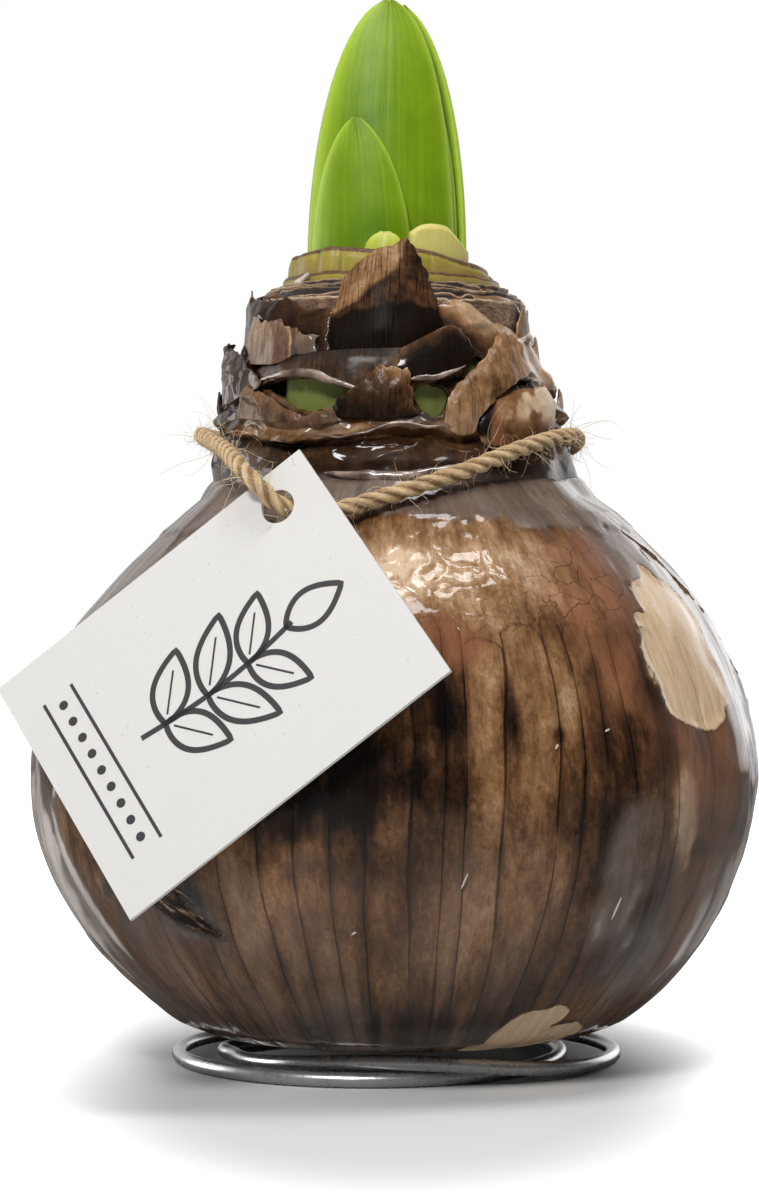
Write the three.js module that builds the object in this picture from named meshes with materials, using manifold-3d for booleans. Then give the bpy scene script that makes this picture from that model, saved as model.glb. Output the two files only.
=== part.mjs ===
// A waxed amaryllis bulb that stands on a coil of galvanised wire, with young leaves at its neck
// and a card tag on a jute twine. Millimetres, +Z up, front towards -Y, standing on z = 0.
// A bearing is an angle round the bulb's axis in degrees: 0 at the front, 90 at +X, -90 at -X.
import * as THREE from "three";
import { mergeVertices } from "three/addons/utils/BufferGeometryUtils.js";
import Module from "manifold-3d";

// ---- driving dimensions ----
const GAP = 0.3; // left between pieces that touch
const WIRE_R = 1.1; // galvanised wire of the stand
const LOOP_R = 28.5; // centre line of each loop of the stand
const LOWER_LOOP_X = -3.2; // the two loops are one wire, set off sideways
const UPPER_LOOP_X = 4.8;
const LOOP_LIFT = 2 * WIRE_R + 0.25; // the upper loop rides over the lower one at the front
const SPIKE_TOP = 19; // the wire's inner end stands in the basal plate
const TWINE_R = 1.25;
const TAG_WIDTH = 42;
const TAG_LENGTH = 54;
const TAG_THICK = 0.6;
const TAG_HOLE_R = 2.45;
const TAG_HOLE_AT = [5.2, 6.9]; // hole centre from the tag's top corner, across and along
const NECK_TOP = 116.3; // height of the dry neck's inner rim
const CUP_FLOOR = 117.5; // floor of the cup of cut scales, which the leaves stand on
const CUP_R = 12.9;
const SCALE_R = 15.25; // outer radius of the cut fleshy scales
const MOUTH_R = SCALE_R + GAP + 0.9; // inner rim of the dry neck
const FLAP_THICK = 0.8; // dry tunic, thicker than life
const BULB_SIDES = 64;
const SCALE_SIDES = 60;

// Half outline of the body below the neck: radius, height.
const BODY = [
  [0, 5.6],
  [12, 5.1],
  [22, 4.95],
  [28.4, 5.0],
  [31.4, 5.8],
  [34.9, 7.5],
  [40.2, 12],
  [45.4, 17.8],
  [49.2, 24],
  [52.2, 31],
  [53.8, 38],
  [54.1, 44],
  [53.2, 50.6],
  [50.8, 58],
  [47.2, 65],
  [42.3, 71.4],
  [36.6, 77.4],
  [32.0, 81.6],
];

// The neck is built of dry layers, each with its own lower hem. A row gives the hem that it is
// counted from, how far it lies towards the next one up, and its radius.
const NECK = [
  ["foot", 0, 30.4],
  ["foot", 0.16, 29.1],
  ["foot", 0.26, 27.9],
  ["foot", 0.5, 27.7],
  ["foot", 0.74, 27.0],
  ["foot", 0.92, 25.7],
  ["collar", 0, 27.1],
  ["collar", 0.12, 27.2],
  ["collar", 0.45, 26.1],
  ["collar", 0.8, 25.0],
  ["collar", 0.93, 24.3],
  ["lip", 0, 25.4],
  ["lip", 0.08, 25.3],
  ["lip", 0.3, 23.6],
  ["lip", 0.62, 22.4],
  ["lip", 0.9, 21.3],
];

// Hem heights every 30 degrees, from the back, by the left, the front and the right.
const HEMS = {
  foot: [83.6, 83.4, 83.7, 83.5, 83.4, 83.6, 83.5, 83.4, 83.6, 83.8, 83.5, 83.4],
  collar: [93.2, 94.0, 94.4, 95.3, 92.6, 91.0, 93.2, 92.0, 94.2, 95.2, 94.4, 93.0],
  lip: [99.4, 100.2, 99.0, 99.2, 98.9, 100.3, 98.5, 100.7, 100.4, 98.8, 99.2, 100.0],
  brim: [112.2, 113.0, 111.8, 113.2, 112.9, 110.2, 111.2, 112.2, 112.6, 111.6, 112.8, 111.8],
};

// Cut edges of the dry layers inside the brim: radius, height.
const CUT_EDGES = [
  [20.7, 0],
  [19.4, -0.5],
  [19.1, 1.5],
  [18.0, 1.3],
  [17.7, 2.9],
  [16.8, 2.8],
];

// Torn flaps of dry tunic. Each row runs from a flap's left edge to its right edge, as bearing
// and height at either end and the radius it stands at; the first row is the root.
const FLAPS = [
  [ // tall front flap
    [-21, 108.0, 23, 108.0, 20.4],
    [-22, 111.5, 20, 111.4, 19.5],
    [-16, 116.6, 18.5, 115.2, 18.3],
    [-8, 118.1, 16, 117.8, 17.9],
    [4.5, 120.2, 9.5, 120.2, 17.6],
  ],
  [ // left spike of the brim
    [-88, 109, -64, 109, 20.9],
    [-76, 114.3, -71, 114.0, 20.8],
  ],
  [ // grey curled flap on the left
    [-97, 99.0, -60, 99.2, 23.7],
    [-94, 103.2, -71, 102.8, 23.8],
    [-91, 106.6, -86, 106.5, 24.0],
  ],
  [ // dark triangular flap over the tears
    [-20, 94.2, 7, 94.0, 25.3],
    [-15, 97.2, 7.5, 97.4, 26.2],
    [-8, 99.8, 6.5, 100.0, 26.4],
    [-3, 101.0, 4, 100.9, 26.2],
  ],
  [ // tan flap that leans to the right
    [17, 93.6, 27, 92.9, 25.9],
    [21, 97.0, 35, 96.0, 26.5],
    [28, 101.0, 46, 100.4, 26.2],
    [35, 104.6, 54, 103.0, 25.1],
    [39.5, 106.8, 44, 106.5, 24.4],
  ],
  [ // right spike of the brim
    [60, 107.5, 80, 107.5, 20.6],
    [69, 112.2, 73, 112.0, 20.8],
  ],
  [ // right spike below it
    [70, 102.6, 92, 102.6, 21.5],
    [80, 107.4, 85, 107.4, 21.6],
  ],
  [ // chip on the left, under the curled flap
    [-101, 94.8, -79, 94.6, 24.8],
    [-96, 99.4, -88, 99.2, 25.6],
  ],
  [ // chip on the right
    [77, 94.6, 99, 94.8, 24.7],
    [84, 99.8, 93, 99.6, 25.3],
  ],
  [ // flap of the brim at the back
    [146, 107.5, 186, 107.8, 21.2],
    [149, 112.4, 180, 112.9, 21.0],
    [157, 116.6, 166, 116.9, 20.4],
  ],
  [ // curled flap at the back, on the left
    [-150, 98.6, -118, 98.8, 24.2],
    [-146, 103.4, -125, 103.0, 24.4],
    [-139, 106.4, -133, 106.3, 24.8],
  ],
  [ // flap at the back, on the right
    [112, 94.6, 140, 94.6, 25.2],
    [116, 99.2, 137, 98.8, 26.3],
    [124, 102.4, 130, 102.4, 26.4],
  ],
];

// Tears that show the green scales: bearing, lowest and highest point along each.
const TEARS = [
  [
    [-60, 98.6, 99.2],
    [-52, 97.9, 99.3],
    [-44, 96.7, 99.8],
    [-36, 95.4, 100.1],
    [-29, 94.9, 99.9],
    [-21, 96.8, 99.1],
    [-15, 97.6, 98.3],
  ],
  [
    [7, 96.4, 98.4],
    [11, 94.9, 98.9],
    [17, 94.9, 99.0],
    [21, 96.4, 98.8],
  ],
];

// Leaf blades: tip height, middle and half width, shape of the outline, and the curve across the
// blade, depth = y + bow * dx^2 + skew * dx. A blade leans in as it narrows, to close over the rest.
const LEAVES = {
  leaf_main: {
    tip: 157.8, middle: -1.5, drift: 1.2, half: 10.75, shape: [2.45, 0.62],
    y: -6.2, bow: 0.037, skew: 0, lean: 0.75, thick: 2.0, colour: 0x6fa524,
  },
  leaf_inner: {
    tip: 151.5, middle: 0.1, drift: 1.9, half: 9.9, shape: [2.2, 0.62],
    y: -0.5, bow: 0, skew: 0, lean: 0, thick: 1.5, colour: 0x86b52c,
  },
  leaf_back: {
    tip: 157.9, middle: 0.7, drift: 1.0, half: 10.5, shape: [2.2, 0.6],
    y: 4.0, bow: -0.03, skew: 0, lean: 0.75, thick: 2.0, colour: 0x6a9f26,
  },
  leaf_small: {
    tip: 139.8, middle: -4.4, drift: -0.8, half: 7.35, shape: [1.8, 0.7],
    y: -8.6, bow: 0.055, skew: -0.25, lean: 0.35, thick: 1.6, colour: 0x7fae2f,
  },
};
const LEAF_ROOT = CUP_FLOOR + GAP;

// Route of the twine from the knot at the back, round by the left, through the tag's hole and
// round by the right to the knot again.
const TWINE_ROUTE = [
  [-3.6, 28.9, 90.6],
  [-10.8, 27.0, 91.4],
  [-18.6, 21.5, 92.4],
  [-24.8, 13.5, 93.1],
  [-27.8, 4.2, 93.3],
  [-28.0, -4.8, 93.0],
  [-26.9, -11.4, 92.1],
  [-25.4, -18.0, 91.1],
  [-23.8, -24.5, 90.0],
  [-22.5, -30.3, 88.7],
  [-21.5, -34.6, 87.6],
  [-20.2, -38.0, 86.1],
  [-18.3, -40.2, 84.4],
  [-16.1, -40.5, 82.1],
  [-13.2, -39.2, 80.8],
  [-10.1, -37.3, 80.7],
  [-7.1, -35.6, 81.1],
  [-4.1, -34.4, 82.0],
  [0.6, -33.2, 83.4],
  [6.0, -31.3, 85.2],
  [11.4, -28.3, 87.2],
  [17.0, -24.1, 89.6],
  [22.4, -18.4, 91.6],
  [26.3, -10.8, 92.6],
  [27.8, -1.6, 92.5],
  [27.1, 8.5, 91.8],
  [23.0, 17.6, 91.1],
  [15.8, 24.7, 90.7],
  [9.6, 27.9, 90.5],
  [3.6, 29.0, 90.5],
];

// Cut tails of the knot: bearing, radius, height from the knot outwards.
const KNOT_TAILS = [
  [
    [181, 31.6, 89.6],
    [184, 32.4, 86.6],
    [188, 35.0, 82.2],
    [192, 39.0, 78.0],
    [194, 42.7, 74.0],
    [193, 45.4, 70.4],
  ],
  [
    [178, 31.4, 89.8],
    [173, 32.2, 86.8],
    [168, 34.6, 82.8],
    [163, 37.7, 79.2],
    [160, 40.2, 76.6],
  ],
];

// The tag's top corner, and the directions of its short and long edges from there.
const TAG_CORNER = new THREE.Vector3(-12.6, -38.2, 89.2);
const TAG_ACROSS = new THREE.Vector3(0.482, -0.513, -0.711).normalize();
const TAG_ALONG = new THREE.Vector3(-0.782, 0.117, -0.613).normalize();

const wasm = await Module();
wasm.setup();

// ---- helpers ----
const radians = THREE.MathUtils.degToRad;
const mix = THREE.MathUtils.lerp;

function onBearing(bearing, radius, height) {
  const angle = radians(bearing);
  return new THREE.Vector3(radius * Math.sin(angle), -radius * Math.cos(angle), height);
}

// A smooth closed curve through values spaced evenly round the axis, from the back.
function roundAxis(values, bearing) {
  const count = values.length;
  const at = (THREE.MathUtils.euclideanModulo(bearing + 180, 360) / 360) * count;
  const first = Math.floor(at);
  const t = at - first;
  const [a, b, c, d] = [-1, 0, 1, 2].map((step) => values[(first + step + count) % count]);
  return b + 0.5 * t * (c - a + t * (2 * a - 5 * b + 4 * c - d + t * (3 * (b - c) + d - a)));
}

// Rows of numbers read as a polyline, at a share from 0 to 1 of the way along.
function along(rows, share) {
  const at = share * (rows.length - 1);
  const first = Math.min(Math.floor(at), rows.length - 2);
  return rows[first].map((value, i) => mix(value, rows[first + 1][i], at - first));
}

function weld(geometry) {
  const bare = geometry.index ? geometry.clone() : geometry;
  bare.deleteAttribute("normal");
  bare.deleteAttribute("uv");
  const welded = mergeVertices(bare, 1e-3);
  const kept = [];
  for (let i = 0; i < welded.index.count; i += 3) {
    const [a, b, c] = [0, 1, 2].map((step) => welded.index.getX(i + step));
    if (a !== b && b !== c && c !== a) kept.push(a, b, c);
  }
  welded.setIndex(kept);
  return welded;
}

function solid(geometry) {
  const welded = weld(geometry);
  return new wasm.Manifold(new wasm.Mesh({
    numProp: 3,
    vertProperties: new Float32Array(welded.attributes.position.array),
    triVerts: new Uint32Array(welded.index.array),
  }));
}

function geometryOf(body) {
  const mesh = body.getMesh();
  const geometry = new THREE.BufferGeometry();
  geometry.setAttribute("position", new THREE.BufferAttribute(mesh.vertProperties, 3));
  geometry.setIndex(new THREE.BufferAttribute(mesh.triVerts, 1));
  return geometry;
}

function piece(name, geometry, colour, roughness, metalness = 0) {
  const material = new THREE.MeshStandardMaterial({ color: colour, roughness, metalness });
  const mesh = new THREE.Mesh(geometry, material);
  mesh.name = name;
  return mesh;
}

// A closed block bent to shape(u, v, w): u across it, v from root to tip, w through it.
function block(across, upwards, shape) {
  const box = new THREE.BoxGeometry(1, 1, 1, across, upwards, 1);
  const spots = box.attributes.position;
  for (let i = 0; i < spots.count; i += 1) {
    const spot = shape(spots.getX(i) + 0.5, spots.getY(i) + 0.5, spots.getZ(i) + 0.5);
    spots.setXYZ(i, spot.x, spot.y, spot.z);
  }
  return weld(box);
}

// A solid of revolution about Z from a profile of [radius, height], bottom to top, with each
// point then moved by shift(bearing, radius, height, row).
function turned(profile, sides, shift = null) {
  const points = profile.map(([radius, height]) => new THREE.Vector2(radius, height));
  const lathe = new THREE.LatheGeometry(points, sides).rotateX(Math.PI / 2);
  if (shift) {
    const spots = lathe.attributes.position;
    for (let i = 0; i < spots.count; i += 1) {
      const bearing = (360 * Math.floor(i / profile.length)) / sides;
      const row = i % profile.length;
      const [radius, height] = profile[row];
      const spot = shift(bearing % 360, radius, height, row);
      spots.setXYZ(i, spot.x, spot.y, spot.z);
    }
  }
  return weld(lathe);
}

// A round tube along a curve; its polygon has a flat side towards the curve's normal.
function tube(curve, radius, sides, steps) {
  const section = new THREE.Shape();
  const corner = radius / Math.cos(Math.PI / sides);
  for (let i = 0; i < sides; i += 1) {
    const angle = ((i + 0.5) * 2 * Math.PI) / sides;
    const [x, y] = [corner * Math.cos(angle), corner * Math.sin(angle)];
    if (i === 0) section.moveTo(x, y);
    else section.lineTo(x, y);
  }
  section.closePath();
  return new THREE.ExtrudeGeometry(section, { extrudePath: curve, steps, bevelEnabled: false });
}

// ---- bulb ----
function hemHeight(name, bearing) {
  return roundAxis(HEMS[name], bearing);
}

const NEXT_HEM = { foot: "collar", collar: "lip", lip: "brim" };

// The body is a little fuller on the right, and ribbed from base to shoulder.
function bodyRadius(bearing, radius, height) {
  const angle = radians(bearing);
  const upper = THREE.MathUtils.smoothstep(height, 60, 78);
  const lower = 1 - THREE.MathUtils.smoothstep(height, 8, 30);
  const ribs = THREE.MathUtils.smoothstep(height, 8, 30) * (1 - upper * 0.7);
  const rib = 0.32 * Math.sin(11 * angle + 0.04 * height) + 0.22 * Math.sin(17 * angle + 1.1);
  const side = (0.25 + 1.2 * upper + 1.1 * lower) * Math.sin(angle);
  const grow = THREE.MathUtils.smoothstep(radius, 20, 32);
  return radius + grow * (side + ribs * rib);
}

function bodySpot(bearing, radius, height) {
  return onBearing(bearing, bodyRadius(bearing, radius, height), height);
}

// The neck is a little narrower from the side, ruffled at its hems, and swells on the right.
function neckSpot(bearing, [hem, share, radius]) {
  const angle = radians(bearing);
  const height = mix(hemHeight(hem, bearing), hemHeight(NEXT_HEM[hem], bearing), share);
  const narrow = -0.9 * Math.sin(angle) ** 2;
  const lean = hem === "foot" ? 0.9 * (1 - share) * Math.sin(angle) : 0;
  const ruffle = 0.28 * Math.sin(9 * angle + share * 4) + 0.2 * Math.sin(13 * angle + 2);
  const turn = THREE.MathUtils.euclideanModulo(bearing - 45 + 180, 360) - 180;
  const swell = 1.7 * Math.exp(-((turn / 12) ** 2) - ((height - 96.5) / 3.6) ** 2);
  const drawnIn = -0.7 * THREE.MathUtils.smoothstep(height, 103, 110) * Math.max(0, Math.sin(angle));
  return onBearing(bearing, radius + narrow + lean + ruffle + swell + drawnIn, height);
}

function brimSpot(bearing, [radius, rise]) {
  const angle = radians(bearing);
  const uneven = 0.25 * Math.sin(8 * angle + rise) + 0.15 * Math.sin(15 * angle + 3 * rise);
  const height = mix(hemHeight("brim", bearing), 112, rise > 1 ? 0.75 : 0);
  const drawnIn = -0.25 * (radius - MOUTH_R) * Math.max(0, Math.sin(angle));
  return onBearing(bearing, radius + uneven + drawnIn, height + rise);
}

function bulbSkin() {
  const centre = [0, NECK_TOP];
  const mouth = [MOUTH_R, NECK_TOP];
  const rows = [...BODY, ...NECK, ...CUT_EDGES, mouth, centre];
  const profile = rows.map((row) => (row.length === 3 ? [row[2], 90] : row));
  return turned(profile, BULB_SIDES, (bearing, radius, height, row) => {
    if (row < BODY.length) return bodySpot(bearing, radius, height);
    if (row < BODY.length + NECK.length) return neckSpot(bearing, rows[row]);
    if (row < rows.length - 2) return brimSpot(bearing, rows[row]);
    return onBearing(bearing, radius, height);
  });
}

// Outline of the fleshy scales inside the neck: radius, height.
const FLESHY = [
  [0, 92.2],
  [22.4, 92.2],
  [21.6, 97],
  [20.2, 101.5],
  [18.4, 107],
  [16.4, 112.4],
  [SCALE_R, 115.2],
];

function socket() {
  const wall = FLESHY.slice(1).map(([radius, height]) => [radius + GAP, height]);
  wall[0][1] -= GAP;
  return turned([[0, 92.2 - GAP], ...wall, [SCALE_R + GAP, 118], [0, 118]], SCALE_SIDES);
}

function spikeBore() {
  const radius = WIRE_R + 0.4;
  const end = SPIKE_TOP + 1;
  return turned([[0, 3], [4.2, 3], [radius + 0.3, 7], [radius, 9], [radius, end], [0, end]], 16);
}

function flap(rows) {
  return block(5, 2 * (rows.length - 1), (u, v, w) => {
    const [left, leftHeight, right, rightHeight, radius] = along(rows, v);
    const wave = 0.25 * Math.sin(9 * u + 5 * v) * v;
    return onBearing(
      mix(left, right, u),
      radius + wave + (w - 0.5) * FLAP_THICK,
      mix(leftHeight, rightHeight, u),
    );
  });
}

function tear(rows) {
  return block(3 * (rows.length - 1), 2, (u, v, w) => {
    const [bearing, low, high] = along(rows, u);
    return onBearing(bearing, mix(19, 29, w), mix(low, high, v));
  });
}

function bulbGeometry() {
  let body = solid(bulbSkin());
  for (const rows of TEARS) body = body.subtract(solid(tear(rows)));
  for (const rows of FLAPS) body = body.add(solid(flap(rows)));
  body = body.subtract(solid(socket()));
  body = body.subtract(solid(spikeBore()));
  return geometryOf(body);
}

// ---- fleshy scales, leaves ----
function rimHeight(bearing) {
  const angle = radians(bearing);
  return 118.7 + 1.2 * Math.cos(angle + 0.75) + 0.2 * Math.sin(7 * angle);
}

function fleshyGeometry() {
  const rim = [
    [SCALE_R, -1.2],
    [SCALE_R - 0.25, -0.1],
    [SCALE_R - 0.8, 0.2],
    [CUP_R + 0.4, 0],
    [CUP_R, -0.6],
  ];
  const profile = [...FLESHY, ...rim, [CUP_R, CUP_FLOOR], [0, CUP_FLOOR]];
  return turned(profile, SCALE_SIDES, (bearing, radius, height, row) => {
    const onRim = row >= FLESHY.length && row < FLESHY.length + rim.length;
    if (!onRim) return onBearing(bearing, radius, height);
    const outside = row < FLESHY.length + 3;
    const lobe = outside ? 0.25 * Math.abs(Math.sin(radians(bearing) * 4.5 + 0.4)) - 0.2 : 0;
    return onBearing(bearing, radius + lobe, rimHeight(bearing) + height);
  });
}

function leafGeometry({ tip, middle, drift, half, shape, y, bow, skew, lean, thick }) {
  return block(6, 11, (u, v, w) => {
    const t = 1 - (1 - v) ** 1.5;
    const side = 2 * u - 1;
    const halfWidth = Math.max(0.45, half * (1 - t ** shape[0]) ** shape[1]);
    const centre = middle + drift * t * t;
    const x = centre + side * halfWidth;
    const margin = mix(0.45, 1, Math.sqrt(1 - side ** 2)) * mix(1, 0.55, t ** 3);
    const dx = x - middle;
    const closing = lean * bow * (half ** 2 - halfWidth ** 2);
    const depth = y + closing + bow * dx * dx + skew * dx - (w - 0.5) * thick * margin;
    return new THREE.Vector3(x, depth, mix(LEAF_ROOT, tip, t));
  });
}

// The blunt tip of a folded young leaf, low at the front of the cup.
function budGeometry() {
  const [x, y, top] = [-1.2, -11.1, 122.5];
  return block(8, 8, (u, v, w) => {
    const side = 2 * u - 1;
    const dome = Math.sqrt(1 - v ** 3.2);
    const notch = -0.5 * v * Math.exp(-((side + 0.1) ** 2) / 0.02);
    const halfWidth = Math.max(0.9, 3.0 * dome);
    const thick = Math.max(0.7, 2.0 * dome) * mix(0.4, 1, Math.sqrt(1 - side ** 2));
    return new THREE.Vector3(
      x + side * halfWidth + 0.3 * v,
      y - (w - 0.5) * thick,
      mix(LEAF_ROOT, top, v) + notch,
    );
  });
}

// A thick scale inside the ring, cut high at the front and sloping down to the right.
const SCALE_TIP = [
  [13, 122.4],
  [24, 123.6],
  [40, 123.6],
  [49, 122.5],
  [60, 120.7],
  [70, 119.3],
];

function scaleTipGeometry() {
  return block(10, 3, (u, v, w) => {
    const [bearing, top] = along(SCALE_TIP, u);
    const bevel = v > 0.9 ? 0.25 : 0;
    return onBearing(bearing, mix(10.5 + bevel, 12.5 - bevel, w), mix(LEAF_ROOT, top, v));
  });
}

// ---- stand ----
// Upper loop from its inner end at the left, over the front and round by the right to the back,
// where the same wire runs on as the lower loop and ends under the right-hand side.
function standCurve() {
  const points = [];
  const bend = 2.5;
  const armHeight = 3.1;
  points.push(new THREE.Vector3(0, 0, SPIKE_TOP));
  points.push(new THREE.Vector3(0, 0, 13));
  points.push(new THREE.Vector3(0, 0, 8.5));
  for (const turn of [0, 30, 60, 90]) {
    const angle = radians(turn);
    const height = armHeight + bend * (1 - Math.sin(angle));
    points.push(new THREE.Vector3(bend * (Math.cos(angle) - 1), 0, height));
  }
  points.push(new THREE.Vector3(-8, 0.6, armHeight - 0.3));
  points.push(new THREE.Vector3(-15, 1.6, 2.2));
  points.push(new THREE.Vector3(-20.5, 2.4, 1.5));
  points.push(new THREE.Vector3(-23.6, 1.6, 1.35));
  points.push(new THREE.Vector3(-24.9, -0.8, 1.25));
  const [first, last, step] = [-80, 500, 10];
  for (let bearing = first; bearing <= last; bearing += step) {
    const lower = THREE.MathUtils.smoothstep(bearing, 130, 250);
    const rise = LOOP_LIFT * Math.exp(-(((bearing + 8) / 42) ** 2)) * (1 - lower);
    const height = bearing < 130 ? WIRE_R + rise : WIRE_R;
    const spot = onBearing(bearing, LOOP_R, height);
    spot.x += mix(UPPER_LOOP_X, LOWER_LOOP_X, lower);
    points.push(spot);
  }
  return new THREE.CatmullRomCurve3(points.reverse(), false, "centripetal");
}

// ---- tag and twine ----
// The tag's own frame has its origin at the top corner, +X along the short edge, -Y along the
// long one and +Z out of the printed face.
function tagMatrix() {
  const out = new THREE.Vector3().crossVectors(TAG_ALONG, TAG_ACROSS).normalize();
  const back = new THREE.Vector3().crossVectors(out, TAG_ACROSS);
  return new THREE.Matrix4().makeBasis(TAG_ACROSS, back, out).setPosition(TAG_CORNER);
}

function tagGeometry() {
  const outline = new THREE.Shape();
  outline.moveTo(0, 0);
  outline.lineTo(0, -TAG_LENGTH);
  outline.lineTo(TAG_WIDTH, -TAG_LENGTH);
  outline.lineTo(TAG_WIDTH, 0);
  outline.closePath();
  const hole = new THREE.Path();
  hole.absarc(TAG_HOLE_AT[0], -TAG_HOLE_AT[1], TAG_HOLE_R, 0, 2 * Math.PI, true);
  outline.holes.push(hole);
  const card = { depth: TAG_THICK, steps: 1, curveSegments: 24, bevelEnabled: false };
  return new THREE.ExtrudeGeometry(outline, card).translate(0, 0, -TAG_THICK / 2);
}

function curveThrough(rows) {
  const points = rows.map(([x, y, z]) => new THREE.Vector3(x, y, z));
  return new THREE.CatmullRomCurve3(points, false, "centripetal");
}

// Two tight turns of twine side by side, and two cut tails that lie down over the shoulder.
function knotGeometry() {
  const [y, z, turnR] = [30.6, 90.6, 1.7];
  let knot = null;
  for (const side of [-1, 1]) {
    const turn = [];
    for (let i = 0; i <= 10; i += 1) {
      const angle = radians(32 * i - 70);
      turn.push(new THREE.Vector3(
        side * (0.9 - 0.6 * Math.sin(angle)),
        y + turnR * Math.cos(angle),
        z + turnR * Math.sin(angle),
      ));
    }
    const loop = tube(new THREE.CatmullRomCurve3(turn), TWINE_R, 7, 12);
    knot = knot ? knot.add(solid(loop)) : solid(loop);
  }
  for (const rows of KNOT_TAILS) {
    const spots = rows.map(([bearing, radius, height]) => onBearing(bearing, radius, height));
    const tail = new THREE.CatmullRomCurve3(spots, false, "centripetal");
    knot = knot.add(solid(tube(tail, TWINE_R, 7, 8)));
  }
  return geometryOf(knot);
}

// ---- the whole object ----
function withNormals(mesh) {
  mesh.geometry.computeVertexNormals();
  return mesh;
}

function buildPlant() {
  const plant = new THREE.Group();
  plant.add(piece("bulb", bulbGeometry(), 0x5d4030, 0.35));
  plant.add(piece("fleshy_scales", fleshyGeometry(), 0xaab368, 0.45));
  plant.add(piece("scale_tip", scaleTipGeometry(), 0xcfd39a, 0.5));
  plant.add(piece("bud_tip", budGeometry(), 0xbcd94a, 0.45));
  for (const [name, leaf] of Object.entries(LEAVES)) {
    plant.add(piece(name, leafGeometry(leaf), leaf.colour, 0.45));
  }
  return plant;
}

function buildStand() {
  const stand = new THREE.Group();
  stand.add(piece("wire_stand", tube(standCurve(), WIRE_R, 8, 104), 0x9a9ea2, 0.35, 1));
  return stand;
}

function buildLabel() {
  const label = new THREE.Group();
  const tag = piece("tag", tagGeometry(), 0xeeebe6, 0.85);
  tagMatrix().decompose(tag.position, tag.quaternion, tag.scale);
  label.add(tag);
  label.add(piece("twine", tube(curveThrough(TWINE_ROUTE), TWINE_R, 8, 76), 0xb98f55, 0.95));
  label.add(piece("twine_knot", knotGeometry(), 0xb98f55, 0.95));
  return label;
}

const amaryllis = new THREE.Group();
amaryllis.name = "waxed_amaryllis_bulb";
amaryllis.add(buildPlant(), buildStand(), buildLabel());
amaryllis.traverse((object) => object.isMesh && withNormals(object));

export default amaryllis;
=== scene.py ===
import math
import random

import bpy
import numpy as np
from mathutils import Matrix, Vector, kdtree, noise


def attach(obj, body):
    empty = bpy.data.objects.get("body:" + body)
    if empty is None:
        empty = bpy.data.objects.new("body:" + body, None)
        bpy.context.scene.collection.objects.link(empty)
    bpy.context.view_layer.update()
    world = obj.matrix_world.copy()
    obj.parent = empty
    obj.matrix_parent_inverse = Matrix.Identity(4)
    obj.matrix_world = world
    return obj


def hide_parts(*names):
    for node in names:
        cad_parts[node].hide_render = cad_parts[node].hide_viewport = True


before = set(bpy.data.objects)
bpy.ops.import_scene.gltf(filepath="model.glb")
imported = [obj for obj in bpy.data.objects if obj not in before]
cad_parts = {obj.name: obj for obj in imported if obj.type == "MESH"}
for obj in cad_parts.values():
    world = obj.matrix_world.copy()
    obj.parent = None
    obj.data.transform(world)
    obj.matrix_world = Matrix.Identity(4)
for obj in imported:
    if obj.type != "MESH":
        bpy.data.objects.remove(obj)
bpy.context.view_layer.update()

# A waxed amaryllis bulb on a coil of wire, with young leaves, a card tag and a jute twine.
# Everything but the lamps and the floor is in millimetres and is scaled to metres when a mesh is
# made. A bearing is an angle round the bulb's axis in degrees: 0 at the front (-Y), 90 at +X.
MM = 0.001

# ---- sizes, the same as the solids' ----
GAP = 0.3
WIRE_R = 1.1
LOOP_R = 28.5
LOWER_LOOP_X = -3.2
UPPER_LOOP_X = 4.8
LOOP_LIFT = 2 * WIRE_R + 0.25
SPIKE_TOP = 19
TWINE_R = 1.25
TAG_THICK = 0.6
INK_THICK = 0.02
CUP_FLOOR = 117.5
CUP_R = 12.9
SCALE_R = 15.25
MOUTH_R = SCALE_R + GAP + 0.9
BRIM_R = 20.7
LEAF_ROOT = CUP_FLOOR + GAP

# Half outline of the body below the neck: radius, height.
BODY = [
    (4.2, 5.4), (12, 5.1), (22, 4.95), (28.4, 5.0), (31.4, 5.8), (34.9, 7.5), (40.2, 12),
    (45.4, 17.8), (49.2, 24), (52.2, 31), (53.8, 38), (54.1, 44), (53.2, 50.6), (50.8, 58),
    (47.2, 65), (42.3, 71.4), (36.6, 77.4), (32.0, 81.6),
]
# The bore for the wire's spike: radius, height.
BORE = [(0.05, 20), (1.5, 20), (1.5, 9), (1.8, 7)]

# Rows of the neck: the hem each is counted from, its share of the way to the next hem, radius.
NECK = [
    ("foot", 0, 30.4), ("foot", 0.16, 29.1), ("foot", 0.26, 27.9), ("foot", 0.5, 27.7),
    ("foot", 0.74, 27.0), ("foot", 0.92, 25.7), ("collar", 0, 27.1), ("collar", 0.12, 27.2),
    ("collar", 0.45, 26.1), ("collar", 0.8, 25.0), ("collar", 0.93, 24.3), ("lip", 0, 25.4),
    ("lip", 0.08, 25.3), ("lip", 0.3, 23.6), ("lip", 0.62, 22.4), ("lip", 0.9, 21.3),
]
# Hem heights every 30 degrees, from the back, by the left, the front and the right.
HEMS = {
    "foot": [83.6, 83.4, 83.7, 83.5, 83.4, 83.6, 83.5, 83.4, 83.6, 83.8, 83.5, 83.4],
    "collar": [93.2, 94.0, 94.4, 95.3, 92.6, 91.0, 93.2, 92.0, 94.2, 95.2, 94.4, 93.0],
    "lip": [99.4, 100.2, 99.0, 99.2, 98.9, 100.3, 98.5, 100.7, 100.4, 98.8, 99.2, 100.0],
    "brim": [112.2, 113.0, 111.8, 113.2, 112.9, 110.2, 111.2, 112.2, 112.6, 111.6, 112.8, 111.8],
}
NEXT_HEM = {"foot": "collar", "collar": "lip", "lip": "brim"}

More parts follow.
